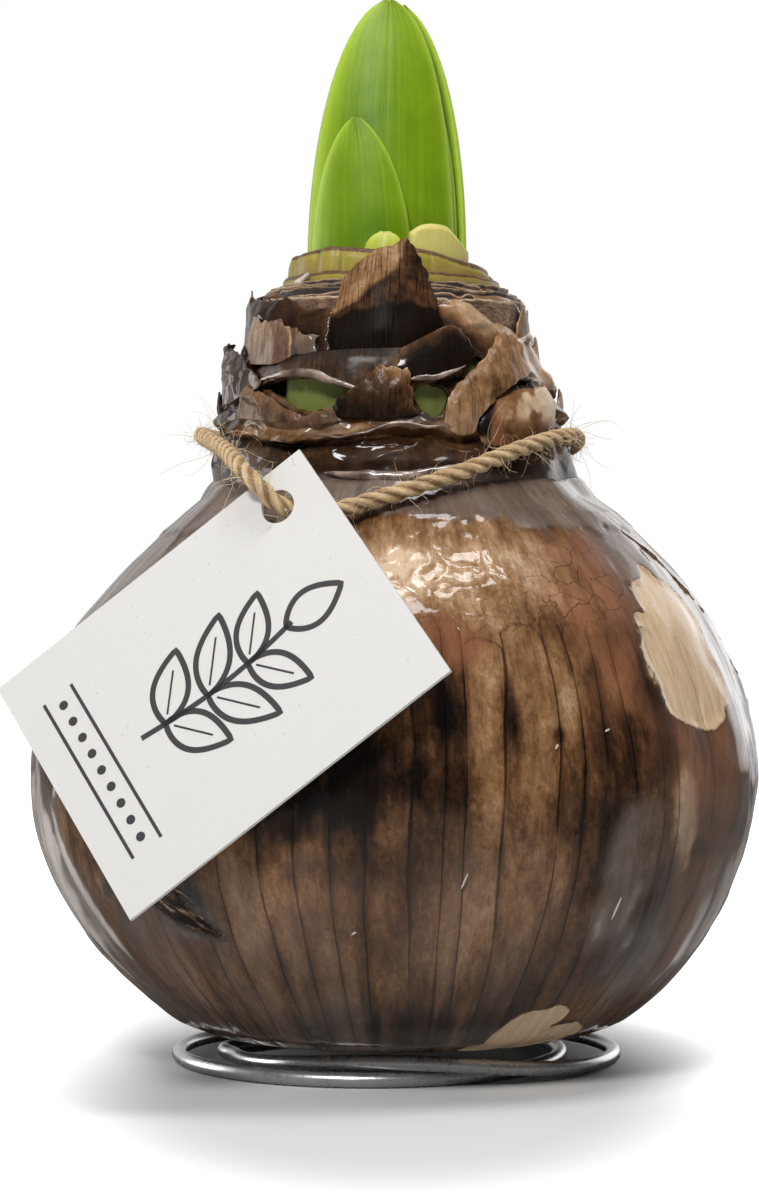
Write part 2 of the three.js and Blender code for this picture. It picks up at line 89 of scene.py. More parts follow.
# Outline of the fleshy scales inside the neck: radius, height.
FLESHY = [(22.4, 92.2), (21.6, 97), (20.2, 101.5), (18.4, 107), (16.4, 112.4), (SCALE_R, 115.2)]

# Tears that show the green scales: bearing, lowest and highest point along each.
TEARS = [
    [(-52, 98.9, 99.3), (-46, 98.2, 99.9), (-39, 97.2, 100.3), (-33, 95.7, 100.6),
     (-27, 94.9, 100.5), (-20, 95.6, 100.0), (-12, 97.5, 98.6)],
    [(6, 96.6, 98.4), (9, 94.8, 99.2), (12, 94.0, 99.4), (16, 94.4, 99.2), (20, 96.8, 98.5)],
    [(22.5, 99.9, 101.0), (26.5, 100.0, 102.9), (30.5, 100.9, 103.6), (34, 102.3, 103.2)],
]

# Route of the twine from the knot at the back, round by the left, through the tag's hole and
# round by the right to the knot again.
TWINE_ROUTE = [
    (-3.6, 28.9, 90.6), (-10.8, 27.0, 91.4), (-18.6, 21.5, 92.4), (-24.8, 13.5, 93.1),
    (-27.8, 4.2, 93.3), (-28.0, -4.8, 93.0), (-26.9, -11.4, 92.1), (-25.4, -18.0, 91.1),
    (-23.8, -24.5, 90.0), (-22.5, -30.3, 88.7), (-21.5, -34.6, 87.6), (-20.2, -38.0, 86.1),
    (-18.3, -40.2, 84.4), (-16.1, -40.5, 82.1), (-13.2, -39.2, 80.8), (-10.1, -37.3, 80.7),
    (-7.1, -35.6, 81.1), (-4.1, -34.4, 82.0), (0.6, -33.2, 83.4), (6.0, -31.3, 85.2),
    (11.4, -28.3, 87.2), (17.0, -24.1, 89.6), (22.4, -18.4, 91.6), (26.3, -10.8, 92.6),
    (27.8, -1.6, 92.5), (27.1, 8.5, 91.8), (23.0, 17.6, 91.1), (15.8, 24.7, 90.7),
    (9.6, 27.9, 90.5), (3.6, 29.0, 90.5),
]
TWINE_LENGTH = 196
TWINE_STEP = 0.3  # between the points along it
# Cut tails of the knot: bearing, radius, height from the knot outwards.
KNOT_TAILS = [
    [(181, 31.6, 89.6), (184, 32.4, 86.6), (188, 35.0, 82.2), (192, 39.0, 78.0),
     (194, 42.7, 74.0), (193, 45.4, 70.4)],
    [(178, 31.4, 89.8), (173, 32.2, 86.8), (168, 34.6, 82.8), (163, 37.7, 79.2),
     (160, 40.2, 76.6)],
]

# The tag's top corner, and the directions of its short and long edges and of its printed face.
TAG_CORNER = np.array([-12.6, -38.2, 89.2])
TAG_ACROSS = np.array([0.482, -0.513, -0.711])
TAG_ALONG = np.array([-0.782, 0.117, -0.613])
TAG_ACROSS /= np.linalg.norm(TAG_ACROSS)
TAG_ALONG /= np.linalg.norm(TAG_ALONG)
TAG_OUT = np.cross(TAG_ALONG, TAG_ACROSS)
TAG_OUT /= np.linalg.norm(TAG_OUT)

CAMERA_AT = (-1.7, -450, 68.6)
LENS, SENSOR = 90, 36
# Lamps: place and size in metres, and watts. They look at the middle of the bulb.
BULB_MIDDLE = (0, 0, 0.07)
LAMPS = {
    "key": ((-0.16, -0.55, 0.52), (0.20, 0.14), 3.9),
    "top": ((0.14, -0.16, 0.80), (0.30, 0.22), 3.1),
    "left_side": ((-0.62, 0.22, 0.16), (0.30, 0.36), 1.6),
    "right_side": ((0.40, 0.54, 0.26), (0.46, 0.50), 0.75),
}
FLOOR_SIZE = 6.0  # half its side in metres
WHITE = (1, 1, 1)

# How fine the meshes are: points from bottom to top and round the axis.
BODY_ROWS, BODY_COLS = 170, 420
NECK_ROWS, NECK_COLS = 150, 520
INNER_ROWS = 24  # of the inside of the neck
SCALE_COLS = 360
PAPER_COLS = 300
SKIN_R = 54  # patterns on the skin are wrapped round the axis at this radius
MM_PER_DEGREE = 0.45  # round the neck


# ---- node graphs ----
def put(tree, socket, value):
    """Sets an input to the output of another node, to a colour or to a plain value."""
    if isinstance(value, bpy.types.NodeSocket):
        tree.links.new(value, socket)
    elif socket.type == "RGBA":
        socket.default_value = (*value, 1)
    else:
        socket.default_value = value


def add_node(tree, kind, inputs, out=0, **settings):
    """Adds a node with its settings and inputs, and returns one of its outputs."""
    node = tree.nodes.new("ShaderNode" + kind)
    for name, value in settings.items():
        setattr(node, name, value)
    for socket, value in inputs.items():
        put(tree, node.inputs[socket], value)
    return node.outputs[out]


# ---- camera, light and floor ----
def place_in_scene(name, data, spot):
    thing = bpy.data.objects.new(name, data)
    thing.location = spot
    bpy.context.scene.collection.objects.link(thing)
    return thing


def make_camera():
    """A level camera in front, with the long lens of a product shot."""
    data = bpy.data.cameras.new("camera")
    data.lens = LENS
    data.sensor_width = SENSOR
    data.clip_start = 0.01
    camera = place_in_scene("camera", data, [at * MM for at in CAMERA_AT])
    camera.rotation_euler = (math.pi / 2, 0, 0)
    bpy.context.scene.camera = camera


def make_softbox(name, spot, size, watts):
    """A soft lamp at spot that looks at the middle of the bulb."""
    data = bpy.data.lights.new(name, "AREA")
    data.shape = "RECTANGLE"
    data.size, data.size_y = size
    data.energy = watts
    aim = Vector(BULB_MIDDLE) - Vector(spot)
    place_in_scene(name, data, spot).rotation_euler = aim.to_track_quat("-Z", "Y").to_euler()


def make_world():
    """White all round for the camera, and a light tent that is dimmer in front of the bulb."""
    world = bpy.data.worlds.new("tent")
    bpy.context.scene.world = world
    world.use_nodes = True
    tree = world.node_tree
    tree.nodes.clear()
    way = add_node(tree, "TexCoord", {}, "Generated")
    tent = {"Value": add_node(tree, "SeparateXYZ", {0: way}, "Y"),
            "From Min": 0.20, "From Max": 1.00, "To Min": 0.055, "To Max": 0.66}
    tent = add_node(tree, "MapRange", tent, "Result", interpolation_type="SMOOTHSTEP")
    seen = add_node(tree, "LightPath", {}, "Is Camera Ray")
    strength = add_node(tree, "Mix", {"Factor": seen, "A": tent, "B": 1.0}, "Result")
    sky = add_node(tree, "Background", {"Color": WHITE, "Strength": strength})
    out = tree.nodes.new("ShaderNodeOutputWorld")
    tree.links.new(sky, out.inputs[0])


def make_floor():
    """A pale floor, painted dark grey where it is seen in reflections. Away from the bulb it glows white
    for the camera: painted light over its shadows there.
    """
    mesh = bpy.data.meshes.new("floor")
    corners = [(x * FLOOR_SIZE, y * FLOOR_SIZE, 0) for x, y in ((-1, -1), (1, -1), (1, 1), (-1, 1))]
    mesh.from_pydata(corners, [], [(0, 1, 2, 3)])
    look = Look("floor_white")
    cloud = look.noise(look.mm, 0.02, detail=2)
    centred = look.vector("ADD", look.mm, (0, 26, 0))
    oval = look.vector("LENGTH", look.vector("MULTIPLY", centred, (1.0, 0.50, 1)))
    away = look.step(oval, 28, 62)
    # painted light: an emission for camera rays only, growing away from the bulb
    glow = look.times(away, look.node("LightPath", {}, "Is Camera Ray"))
    # painted reflection: a dark grey floor for rays reflected off the bulb and the wire
    mirrored = look.node("LightPath", {}, "Is Glossy Ray")
    pale = look.mix(cloud, (0.645, 0.645, 0.645), (0.675, 0.675, 0.675))
    look.finish(
        base=look.mix(mirrored, pale, (0.20, 0.195, 0.19)), roughness=0.9,
        specular_ior_level=0.1, emission_color=WHITE, emission_strength=look.times(glow, 0.95),
    )
    mesh.materials.append(look.material)
    floor = place_in_scene("floor", mesh, (0, 0, 0))


# ---- shapes ----
def smoothstep(value, low, high):
    t = np.clip((value - low) / (high - low), 0, 1)
    return t * t * (3 - 2 * t)


def hump(value, centre, width):
    """1 where the value is at the centre, falling off as a bell that is about width wide."""
    return np.exp(-(((value - centre) / width) ** 2))


def between(value, low, low_end, high, high_end):
    """1 from low_end to high, falling smoothly to 0 at low and high_end."""
    return smoothstep(value, low, low_end) * (1 - smoothstep(value, high, high_end))


def shares(count):
    return np.linspace(0, 1, count)


def bearings(count):
    """Bearings spaced evenly all round the axis, from the back."""
    return np.arange(count) * 360 / count - 180


def spots_at(x, y, z):
    """Points with these coordinates, which may be arrays."""
    return np.stack(np.broadcast_arrays(x, y, z), axis=-1).astype(float)


def on_bearing(bearing, radius, height):
    """Points at a bearing in degrees, a radius and a height, which may all be arrays."""
    angle = np.radians(bearing)
    return spots_at(radius * np.sin(angle), -radius * np.cos(angle), height)


def bearing_of(points):
    return np.degrees(np.arctan2(points[..., 0], -points[..., 1]))


def radius_of(points):
    return np.hypot(points[..., 0], points[..., 1])


def with_ends(rows):
    """The rows with one more in line with them before the first and after the last."""
    return np.concatenate([2 * rows[:1] - rows[1:2], rows, 2 * rows[-1:] - rows[-2:-1]])


def cubic(a, b, c, d, t):
    """A share t of the way along the smooth curve from b to c, with a before and d after it."""
    return b + 0.5 * t * (c - a + t * (2 * a - 5 * b + 4 * c - d + t * (3 * (b - c) + d - a)))


def row_before(rows, share):
    """The row before each share of the way along the rows, and how far past it the share is."""
    at = np.asarray(share, float) * (len(rows) - 1)
    first = np.clip(np.floor(at).astype(int), 0, len(rows) - 2)
    return first, (at - first).reshape(-1, *[1] * (rows.ndim - 1))


def curve_at(rows, share):
    """Rows of numbers or points read as a smooth curve, at shares of the way along it."""
    rows = np.asarray(rows, float)
    first, t = row_before(rows, share)
    ends = with_ends(rows)
    return cubic(*(ends[first + step] for step in range(4)), t)


def line_at(rows, share):
    """Rows of numbers or points read as straight stretches, at shares of the way along."""
    rows = np.asarray(rows, float)
    first, t = row_before(rows, share)
    return rows[first] * (1 - t) + rows[first + 1] * t


def wander(points, size, seed, octaves=3):
    """Smooth noise of about -1 to 1 at points in mm, with a grain of that size in mm."""
    shift = Vector((seed * 1.37, -seed * 2.11, seed * 0.73))
    flat = np.asarray(points).reshape(-1, 3) / size
    values = [noise.fractal(Vector(p) + shift, 1.0, 2.0, octaves) for p in flat]
    return np.array(values).reshape(np.asarray(points).shape[:-1])


def creases(points, size, seed, octaves):
    """Noise from 0 to 1 with sharp ridges, as in crumpled paper."""
    return 1 - np.minimum(1, 2.2 * np.abs(wander(points, size, seed, octaves)))


def round_axis(values, bearing):
    """A smooth closed curve through values spaced evenly round the axis, from the back."""
    values = np.asarray(values, float)
    at = np.mod(np.asarray(bearing, float) + 180, 360) / 360 * len(values)
    first = np.floor(at).astype(int)
    return cubic(*(values[(first + step) % len(values)] for step in (-1, 0, 1, 2)), at - first)


def grid_faces(rows, cols, wrap=False):
    """Four-sided faces of a grid of points that is rows high."""
    index = np.arange(rows * cols).reshape(rows, cols)
    if wrap:
        index = np.hstack([index, index[:, :1]])
    a, b, c, d = index[:-1, :-1], index[:-1, 1:], index[1:, 1:], index[1:, :-1]
    return np.stack([a, b, c, d], axis=-1).reshape(-1, 4).tolist()


def normals_of(grid):
    """Unit normals of an open grid of points."""
    along = np.gradient(grid, axis=0)
    across = np.gradient(grid, axis=1)
    out = np.cross(across, along)
    return out / np.maximum(np.linalg.norm(out, axis=-1, keepdims=True), 1e-9)


def slab(grid, thickness):
    """A closed sheet round a grid of points, with that thickness in mm at each point."""
    rows, cols = grid.shape[:2]
    half = normals_of(grid) * (np.broadcast_to(thickness, (rows, cols)) / 2)[..., None]
    points = np.concatenate([(grid + half).reshape(-1, 3), (grid - half).reshape(-1, 3)])
    count = rows * cols
    front = grid_faces(rows, cols)
    back = [[count + i for i in reversed(face)] for face in front]
    index = np.arange(count).reshape(rows, cols)
    border = np.concatenate([index[0, :-1], index[:-1, -1], index[-1, :0:-1], index[:0:-1, 0]])
    walls = [
        [int(b), int(a), int(a) + count, int(b) + count]
        for a, b in zip(border, np.roll(border, -1))
    ]
    return points, front + back + walls


def transport(line):
    """Tangents, and two directions square to them that don't twist, along a line of points."""
    tangents = np.gradient(line, axis=0)
    tangents /= np.linalg.norm(tangents, axis=1, keepdims=True)
    side = np.cross(tangents[0], (0.0, 0.0, 1.0))
    if np.linalg.norm(side) < 0.1:
        side = np.cross(tangents[0], (0.0, 1.0, 0.0))
    sides = []
    for tangent in tangents:
        side = side - tangent * (side @ tangent)
        side = side / np.linalg.norm(side)
        sides.append(side)
    sides = np.array(sides)
    return tangents, sides, np.cross(tangents, sides)


def pipe(line, radius, sides):
    """A closed tube along a line, with a radius for each point or for each point and side."""
    line = np.asarray(line, float)
    _, side, up = transport(line)
    turn = np.arange(sides)[:, None] * 2 * math.pi / sides
    around = side[:, None] * np.cos(turn) + up[:, None] * np.sin(turn)
    width = np.reshape(radius, (len(line), -1, 1))
    points = (line[:, None] + around * width).reshape(-1, 3)
    last = (len(line) - 1) * sides
    caps = [list(range(sides - 1, -1, -1)), list(range(last, last + sides))]
    return points, grid_faces(len(line), sides, wrap=True) + caps


def several(parts):
    """One set of points and faces from many."""
    points, faces = [], []
    start = 0
    for some_points, some_faces in parts:
        points.append(some_points)
        faces.extend([[i + start for i in face] for face in some_faces])
        start += len(some_points)
    return np.concatenate(points), faces


def smooth_line(points, step):
    """Points a step apart on a centripetal curve through the given ones."""
    points = np.asarray(points, float)
    ends = with_ends(points)
    fine = []
    for a, b, c, d in zip(ends, ends[1:], ends[2:], ends[3:]):
        t1 = np.linalg.norm(b - a) ** 0.5
        t2 = t1 + np.linalg.norm(c - b) ** 0.5
        t3 = t2 + np.linalg.norm(d - c) ** 0.5
        t = np.linspace(t1, t2, 24, endpoint=False)[:, None]
        ab = ((t1 - t) * a + t * b) / t1
        bc = ((t2 - t) * b + (t - t1) * c) / (t2 - t1)
        cd = ((t3 - t) * c + (t - t2) * d) / (t3 - t2)
        abc = ((t2 - t) * ab + t * bc) / t2
        bcd = ((t3 - t) * bc + (t - t1) * cd) / (t3 - t1)
        fine.append(((t2 - t) * abc + (t - t1) * bcd) / (t2 - t1))
    fine = np.vstack([*fine, points[-1:]])
    run = np.concatenate([[0], np.cumsum(np.linalg.norm(np.diff(fine, axis=0), axis=1))])
    places = np.linspace(0, run[-1], max(2, int(round(run[-1] / step)) + 1))
    return np.stack([np.interp(places, run, fine[:, i]) for i in range(3)], axis=1)


def add_piece(name, shape, look, fields=None, replaces=(), smooth=True):
    """Makes a mesh object from points in mm and faces, with its material. It rides on the root."""
    points, faces = shape
    mesh = bpy.data.meshes.new(name)
    mesh.from_pydata((np.reshape(points, (-1, 3)) * MM).tolist(), [], faces)
    mesh.validate()
    mesh.polygons.foreach_set("use_smooth", [smooth] * len(mesh.polygons))
    for field, values in (fields or {}).items():
        attribute = mesh.attributes.new(field, "FLOAT", "POINT")
        attribute.data.foreach_set("value", np.asarray(values, np.float32).ravel())
    mesh.materials.append(look)
    piece = place_in_scene(name, mesh, (0, 0, 0))
    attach(piece, "root")
    if replaces:
        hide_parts(*replaces)
    return piece


def add_sheet(name, grid, thickness, look, fields, replaces=()):
    """Makes a closed sheet of a grid of points. Fields hold a value for each of those points."""
    size = grid.shape[:2]
    both = {field: np.tile(np.broadcast_to(values, size).ravel(), 2)
            for field, values in fields.items()}
    return add_piece(name, slab(grid, thickness), look, both, replaces)


# ---- materials ----
class Look:
    """A material and its node graph. Each method adds one kind of node and returns its result."""

    def __init__(self, name):
        self.material = bpy.data.materials.new(name)
        self.material.use_nodes = True
        self.tree = self.material.node_tree
        self.tree.nodes.clear()
        out = self.tree.nodes.new("ShaderNodeOutputMaterial")
        self.shader = self.tree.nodes.new("ShaderNodeBsdfPrincipled")
        self.tree.links.new(self.shader.outputs[0], out.inputs[0])
        place = self.node("TexCoord", {}, "Object")
        self.mm = self.vector("MULTIPLY", place, (1 / MM, 1 / MM, 1 / MM))

    def node(self, kind, inputs, out=0, **settings):
        return add_node(self.tree, kind, inputs, out, **settings)

    def vector(self, operation, a, b=(0, 0, 0)):
        out = "Value" if operation == "LENGTH" else "Vector"
        return self.node("VectorMath", {0: a, 1: b}, out, operation=operation)

    def math(self, operation, a, b=0.0):
        return self.node("Math", {0: a, 1: b}, operation=operation)

    def times(self, a, b):
        return self.math("MULTIPLY", a, b)

    def plus(self, a, b):
        return self.math("ADD", a, b)

    def less(self, a, b):
        return self.math("SUBTRACT", a, b)

    def total(self, *terms):
        """The sum of pairs of a value and its weight."""
        result = 0.0
        for value, weight in terms:
            result = self.plus(self.times(value, weight), result)
        return result

    def mix(self, share, a, b):
        return self.node("Mix", {0: share, 6: a, 7: b}, 2, data_type="RGBA")

    def noise(self, at, scale, detail=4.0, rough=0.5, distortion=0.0, out="Fac"):
        return self.node("TexNoise", {
            "Vector": at, "Scale": scale, "Detail": detail, "Roughness": rough,
            "Distortion": distortion,
        }, out)

    def chance(self, number):
        """A number from 0 to 1 that is the same wherever the given number is."""
        return self.node("TexWhiteNoise", {"W": number}, "Value", noise_dimensions="1D")

    def cells(self, at, scale, feature="F1"):
        return self.node("TexVoronoi", {"Vector": at, "Scale": scale}, "Distance", feature=feature)

    def ramp(self, share, *stops):
        colour = self.node("ValToRGB", {0: share}, "Color")
        elements = colour.node.color_ramp.elements
        while len(elements) < len(stops):
            elements.new(1.0)
        for element, (place, stop) in zip(elements, stops):
            element.position = place
            element.color = (*stop, 1)
        return colour

    def step(self, value, low, high, to_low=0.0, to_high=1.0):
        """A smooth step from to_low, where the value is low, to to_high, where it is high."""
        return self.node("MapRange", {
            "Value": value, "From Min": low, "From Max": high, "To Min": to_low, "To Max": to_high,
        }, "Result", interpolation_type="SMOOTHSTEP")

    def near(self, value, centre, width):
        """1 where the value is at the centre, falling to 0 a width away."""
        return self.step(self.math("ABSOLUTE", self.less(value, centre)), 0.0, width, 1.0, 0.0)

    def field(self, name):
        """A value that the mesh holds at each point, or 0 if it holds none."""
        return self.node("Attribute", {}, "Fac", attribute_name=name)

    def scaled(self, x, y, z):
        """The place in mm, stretched along each axis."""
        return self.vector("MULTIPLY", self.mm, (x, y, z))

    def along(self, axis):
        """The place in mm along X, Y or Z."""
        return self.node("SeparateXYZ", {0: self.mm}, axis)

    def joined(self, x=0.0, y=0.0, z=0.0):
        return self.node("CombineXYZ", {"X": x, "Y": y, "Z": z})

    def meridian(self, radius, along):
        """The place as a direction round the axis times a radius, and the height times along."""
        way = self.vector("NORMALIZE", self.scaled(1, 1, 0))
        ring = self.vector("MULTIPLY", way, (radius, radius, 0))
        return self.vector("ADD", ring, self.joined(z=self.times(self.along("Z"), along)))

    def wrapped(self, along, scale, *rest):
        """Noise over the skin, wrapped round the axis, with the height times along."""
        return self.noise(self.meridian(SKIN_R, along), scale, *rest)

    def bump(self, height, distance, strength=1.0):
        """A normal that follows the height, which stands for that distance in mm."""
        return self.node("Bump", {"Strength": strength, "Distance": distance * MM, "Height": height})

    def finish(self, base, roughness, **rest):
        """Sets the shader's inputs, named as words_with_lines, and returns the material."""
        rest = {name.replace("_", " ").title().replace("Ior", "IOR"): value
                for name, value in rest.items()}
        for name, value in {"Base Color": base, "Roughness": roughness, **rest}.items():
            put(self.tree, self.shader.inputs[name], value)
        return self.material


TUNIC_COLOURS = (
    (0.0, (0.006, 0.0025, 0.001)),
    (0.20, (0.034, 0.0145, 0.0055)),
    (0.40, (0.106, 0.048, 0.019)),
    (0.60, (0.240, 0.126, 0.055)),
    (0.80, (0.415, 0.262, 0.148)),
    (1.0, (0.620, 0.460, 0.310)),
)
BANDS = 68
# How strongly ribs and veins show, how much lighter it is, and the wax's weight and roughness.
SKINS = {
    "waxed_tunic": (1.0, 0.25, 0.02, 1.0, 0.13),
    "neck_tunic": (0.0, 0.15, 0.0, 0.85, 0.14),
    "flap_tunic": (0.0, 0.8, 0.0, 0.45, 0.28),
    "front_tunic": (0.0, 1.2, 0.0, 0.05, 0.30),
    "bulge_tunic": (0.0, 0.1, 0.02, 0.35, 0.26),
}


def tunic_look(name, ribs, veins, lift, coat, coat_roughness):
    """Dry bulb skin under wax. Fields say where it is light, milky or whitened by painted glare, red, bare,
    cracked, crinkled or ribbed; ribs and veins say how strongly its lines show."""
    look = Look(name)
    place = look.meridian(SKIN_R, 0.40) if ribs else look.mm
    clouds = look.noise(place, 0.10, 6, 0.62, 0.4)
    mottle = look.noise(place, 0.42, 5, 0.62, 0.3)
    grain = look.noise(look.mm, 1.3, 5, 0.72)
    streaks = look.wrapped(0.05, 0.22, 5, 0.6)
    x, y, z = (look.along(axis) for axis in "XYZ")
    high = look.step(z, 58, 66, 0.0, 1.0 if ribs else 0.0)
    blotch = look.noise(look.mm, 0.26, 6, 0.66, 0.5)
    streaks = look.plus(streaks, look.times(high, look.less(blotch, streaks)))
    marked = look.field("tone")
    if ribs:
        marked = look.times(marked, look.step(streaks, 0.35, 0.65, 1.30, 0.60))
        fine_mottle = look.wrapped(0.55, 0.85, 5, 0.68, 0.6)
        tone = look.total((clouds, 0.52), (mottle, 0.52), (grain, 0.30), (streaks, 0.36),
                          (fine_mottle, 0.52), (marked, 0.40))
        tone = look.less(tone, 0.32)
    else:
        tone = look.total((clouds, 0.52), (mottle, 0.48), (grain, 0.36), (streaks, 0.24),
                          (marked, 0.42))
    tone = look.plus(tone, -0.43 + lift)

    angle = look.math("ARCTAN2", x, look.times(y, -1.0))
    sway = look.wrapped(0.45, 0.05, 2)
    uneven = look.wrapped(0.0, 0.09, 1)
    lane = look.total((angle, BANDS / (2 * math.pi)), (sway, 1.2), (uneven, 2.2))
    side = look.times(look.math("ABSOLUTE", look.less(look.math("FRACT", lane), 0.5)), 2.0)
    shade = look.wrapped(0.10, 0.45, 3, 0.6)
    top = look.chance(look.math("FLOOR", lane))
    arch = look.total((z, -1.0), (top, 3.4), (look.math("POWER", side, 2.5), -1.5), (mottle, 1.6))
    arch = look.plus(arch, 62.6)
    fade = look.step(z, 58, 72, 1.0, 0.0)
    under = look.step(arch, -0.1, 0.4)
    on_front = look.field("arch")
    shown = look.plus(look.times(under, on_front), look.times(fade, look.less(1.0, on_front)))
    away = look.step(look.math("ABSOLUTE", look.less(angle, 0.15)), 0.6, 1.1, 1.0, 0.45)
    shown = look.times(look.times(shown, away), ribs)
    border = look.step(side, 0.45, 1.0)
    core = look.times(look.step(side, 0.91, 0.99), look.step(shade, 0.30, 0.50))
    soft = look.times(border, look.step(shade, 0.35, 0.75))
    own = look.less(top, 0.5)
    lines = look.total((soft, 0.24), (core, 0.27), (own, 0.13))
    outline = look.times(look.near(arch, 0.1, 0.42), on_front)
    lines = look.times(lines, shown)
    lines = look.plus(lines, look.times(look.times(outline, mottle), 0.22 * ribs))
    fine_noise = look.wrapped(0.12, 0.55, 3, 0.5, 0.3)
    fine = look.near(fine_noise, 0.5, 0.028)
    tone = look.less(tone, lines)
    tone = look.less(tone, look.times(fine, 0.14 * veins))
    colour = look.ramp(tone, *TUNIC_COLOURS)

    speck = look.step(look.noise(look.mm, 2.4, 2, 0.6), 0.64, 0.70)
    speck = look.times(speck, look.step(mottle, 0.42, 0.60, 0.0, 0.55))
    colour = look.mix(speck, colour, (0.020, 0.011, 0.007))
    redness = look.times(look.field("red"), look.step(clouds, 0.32, 0.68, 0.35, 0.9))
    rust = look.mix(mottle, (0.12, 0.036, 0.014), (0.40, 0.17, 0.085))
    colour = look.mix(redness, colour, rust)
    wobble = look.vector("MULTIPLY", look.noise(look.mm, 0.30, 2, out="Color"), (3, 3, 3))
    crack = look.cells(look.vector("ADD", look.mm, wobble), 0.26, "DISTANCE_TO_EDGE")
    crack = look.times(look.step(crack, 0.0, 0.024, 1.0, 0.0), look.field("crack"))
    colour = look.mix(look.times(crack, 0.45), colour, (0.045, 0.022, 0.013))

    drift = look.wrapped(0.35, 0.10, 4, 0.6, 0.6)
    milk_and_glare = look.times(look.field("milk_and_glare"), look.step(drift, 0.25, 0.7, 0.40, 1.0))
    whiteness = look.mix(drift, (0.075, 0.062, 0.055), (0.27, 0.225, 0.195))
    # Where the milky field is strongest, a whiter streaked film: painted glare on the wax.
    film_and_glare = look.times(look.step(look.field("milk_and_glare"), 0.70, 1.25), look.step(streaks, 0.30, 0.62))
    whiteness = look.mix(film_and_glare, whiteness, (0.62, 0.56, 0.52))
    colour = look.mix(milk_and_glare, colour, whiteness)
    frayed = look.total((grain, 0.14), (mottle, 0.34), (clouds, -0.12))
    edge = look.plus(look.field("cream"), frayed)
    bare = look.step(edge, 0.57, 0.68)
    rim = look.near(edge, 0.56, 0.08)
    fibres = look.wrapped(0.30, 0.30, 4, 0.6, 2.4)
    flesh = look.ramp(fibres, (0.26, (0.45, 0.30, 0.175)), (0.46, (0.58, 0.41, 0.25)),
                      (0.74, (0.70, 0.53, 0.355)))
    colour = look.mix(bare, colour, flesh)
    colour = look.mix(look.times(rim, 0.8), colour, (0.085, 0.046, 0.026))
    slant = look.joined(look.plus(z, look.times(x, 0.6)), look.times(x, 0.25))
    strips = look.noise(slant, 1.5, 5, 0.68)
    wound = look.plus(look.field("scar"), look.total((strips, 0.7), (mottle, 0.4)))
    slate = look.mix(clouds, (0.022, 0.020, 0.020), (0.090, 0.090, 0.092))
    colour = look.mix(look.step(wound, 0.74, 1.12, 0.0, 0.85), colour, slate)
    bed = look.ramp(strips, (0.43, (0.007, 0.005, 0.004)), (0.53, (0.040, 0.022, 0.013)),
                    (0.60, (0.16, 0.095, 0.055)), (0.66, (0.46, 0.39, 0.33)))
    colour = look.mix(look.step(wound, 1.12, 1.20), colour, bed)

    skin = look.total((streaks, 0.4), (grain, 0.30), (fine, -0.3 * veins), (lines, -1.2),
                      (crack, -0.5))
    skin_normal = look.bump(skin, 0.5, 0.8)
    foil = look.step(look.cells(look.vector("ADD", look.mm, wobble), 0.16, "DISTANCE_TO_EDGE"),
                     0.0, 0.16)
    crumple = look.total((foil, 0.26), (look.noise(look.mm, 0.22, 2, 0.4), 1.2))
    crumple = look.times(crumple, look.field("crinkle"))
    if ribs:
        waves = look.wrapped(0.6, 0.075, 2, 0.4)
    else:
        waves = look.noise(look.scaled(0.4, 0.4, 1.2), 0.13, 2, 0.3)
    swell = look.total((waves, 1.0), (crumple, 0.75), (look.times(side, shown), -0.05))
    wax_normal = look.bump(swell, 1.0 if ribs else 1.2, 0.8)
    return look.finish(
        base=colour, roughness=look.step(grain, 0.2, 0.8, 0.45, 0.65), normal=skin_normal,
        specular_ior_level=0.05,
        coat_weight=look.step(clouds, 0.2, 0.5, coat * 0.85, coat),
        coat_roughness=coat_roughness, coat_ior=1.37, coat_normal=wax_normal,
    )


def leaf_look(name, deep, bright, edge):
    """Green blade with parallel veins; the field margin is 1 at its margins, and on the blades it also
    holds a painted lighter left half.
    """
    look = Look(name)
    shift = look.noise(look.scaled(0.3, 0.3, 0.05), 1.0, 2)
    lane = look.joined(look.times(look.field("lane"), 16.0), look.times(look.along("Z"), 0.025))
    stripes = look.noise(lane, 1.0, 4, 0.6)
    fine = look.noise(look.vector("MULTIPLY", lane, (4.2, 1.6, 1)), 1.0, 3, 0.6)
    cloud = look.noise(look.mm, 0.12, 4, 0.55)
    tone = look.total((stripes, 0.26), (fine, 0.24), (cloud, 0.60), (shift, 0.1))
    colour = look.ramp(tone, (0.46, deep), (0.74, bright))
    margin = look.step(look.field("margin"), 0.10, 1.0)
    colour = look.mix(look.times(margin, 0.85), colour, edge)
    pale = look.times(look.step(look.noise(look.mm, 0.08, 2), 0.45, 0.75), 0.25)
    colour = look.mix(pale, colour, edge)
    ribs = look.total((stripes, 1.0), (fine, 0.5))
    return look.finish(
        base=colour, roughness=look.step(cloud, 0.2, 0.8, 0.34, 0.46),
        normal=look.bump(ribs, 0.10, 0.6),
        subsurface_weight=0.22, subsurface_radius=(0.7, 1.0, 0.25), subsurface_scale=0.0012,
        specular_ior_level=0.22,
    )


